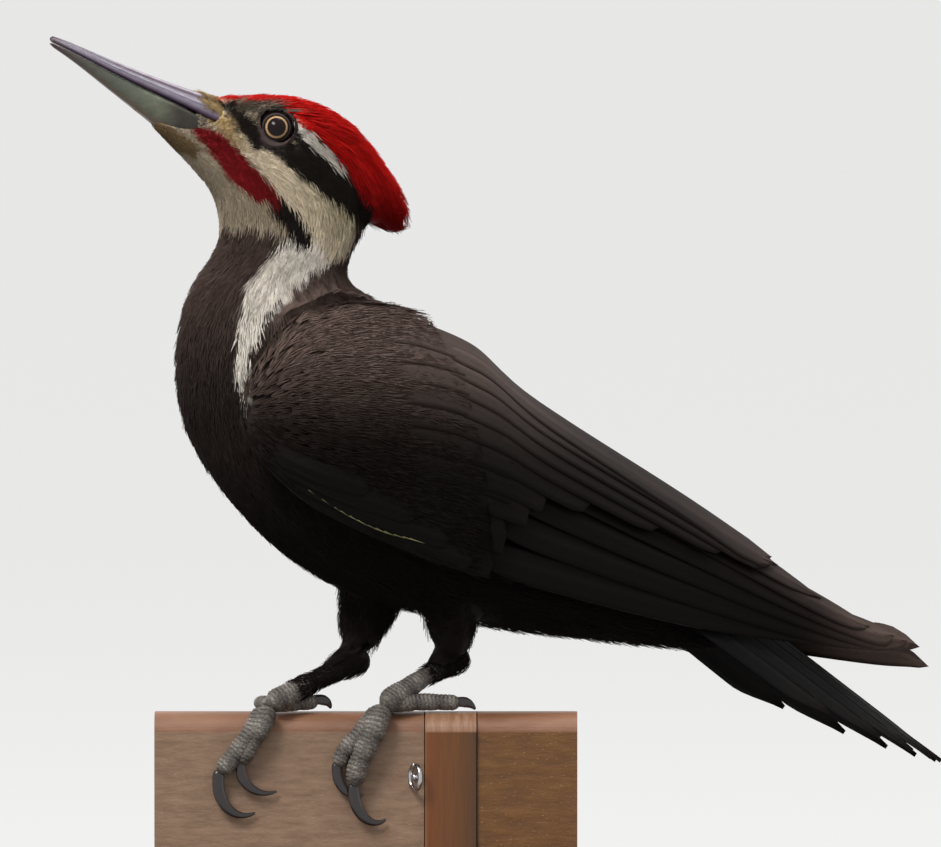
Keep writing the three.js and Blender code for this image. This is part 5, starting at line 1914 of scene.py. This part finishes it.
# ---------------------------------------------------------------- floor, light and camera
FLOOR_REACH = 40  # m, half the floor's side
FAR_CLIP = 200  # m
FLOOR_GLOW = 0.75  # the share of the floor's look that is a plain tone
FLOOR_TONE, FLOOR_LIT, FLOOR_UNSEEN = rgb(244, 244, 243), rgb(180, 180, 179), rgb(116, 116, 116)
DOME_STRENGTH = 1.25
LAMP_AIM = Vector((0, 0, 0.16))
CAMERA_DISTANCE, CAMERA_TILT = 5.0, math.radians(2)
CAMERA_TARGET = Vector((0.01266, 0, 0.1722))
FRAME_WIDTH = 0.294  # metres across the picture at the bird
SENSOR = 36  # mm, the camera's own width of its picture


def seen_by_camera(tree):
    """1 on rays from the camera and on those it sees in metal or through glass, otherwise 0."""
    rays = add_node(tree, "ShaderNodeLightPath").outputs
    bent = calculate(tree, "MAXIMUM", rays["Is Glossy Ray"], rays["Is Transmission Ray"])
    return calculate(tree, "MAXIMUM", rays["Is Camera Ray"], bent)


def pale_to_camera(tree, shader):
    """Shows a plain tone to the camera and in reflections, and the lit surface to all else."""
    shown = seen_by_camera(tree)
    lit = mix(tree, shown, four(FLOOR_UNSEEN), four(FLOOR_LIT))
    tree.links.new(lit, shader.inputs["Base Color"])
    glow = add_node(tree, "ShaderNodeEmission", {"Color": four(FLOOR_TONE), "Strength": 1.0})
    share = calculate(tree, "MULTIPLY", shown, FLOOR_GLOW)
    both = add_node(tree, "ShaderNodeMixShader", {0: share, 1: shader.outputs[0], 2: glow.outputs[0]})
    tree.links.new(both.outputs[0], tree.nodes["Material Output"].inputs["Surface"])


def make_floor():
    mat, tree, shader = new_material("Floor", {"Roughness": 0.9, "Specular IOR Level": 0.1})
    pale_to_camera(tree, shader)
    corners = [(x * FLOOR_REACH, y * FLOOR_REACH, 0) for x, y in ((-1, -1), (1, -1), (1, 1), (-1, 1))]
    mesh = bpy.data.meshes.new("Floor")
    mesh.from_pydata(corners, [], [(0, 1, 2, 3)])
    mesh.materials.append(mat)
    floor = add_object("Floor", mesh)


def make_world():
    """A dome that is brighter overhead, and a pale background for the camera."""
    world = bpy.data.worlds.new("Studio")
    world.use_nodes = True
    tree = world.node_tree
    sky = tree.nodes["Background"]
    high = axis(tree, add_node(tree, "ShaderNodeTexCoord").outputs["Generated"], "Z")
    dome = ramp(tree, high, (0.0, (0.34, 0.34, 0.345)), (0.75, (0.95, 0.95, 0.96)))
    shown = four(rgb(240, 240, 239) / DOME_STRENGTH)
    tree.links.new(mix(tree, seen_by_camera(tree), dome, shown), sky.inputs["Color"])
    sky.inputs["Strength"].default_value = DOME_STRENGTH
    bpy.context.scene.world = world


def make_light(name, place, size, power):
    """A round lamp of this size in metres and power in watts, aimed at the bird."""
    data = bpy.data.lights.new(name, "AREA")
    data.shape, data.size, data.energy = "DISK", size, power
    lamp = add_object(name, data)
    lamp.location = place
    lamp.rotation_euler = (LAMP_AIM - Vector(place)).to_track_quat("-Z", "Y").to_euler()


def make_camera():
    data = bpy.data.cameras.new("Camera")
    data.lens = SENSOR * CAMERA_DISTANCE / FRAME_WIDTH
    data.clip_end = FAR_CLIP
    camera = add_object("Camera", data)
    away = Vector((0, -math.cos(CAMERA_TILT), math.sin(CAMERA_TILT)))
    camera.location = CAMERA_TARGET + away * CAMERA_DISTANCE
    camera.rotation_euler = (-away).to_track_quat("-Z", "Y").to_euler()
    bpy.context.scene.camera = camera


make_floor()
make_world()
make_light("Key", (-0.9, -1.3, 1.7), 0.9, 39)
make_light("Top", (0.5, 0.3, 1.9), 1.2, 20)
make_camera()
bpy.context.scene.view_settings.view_transform = "Standard"
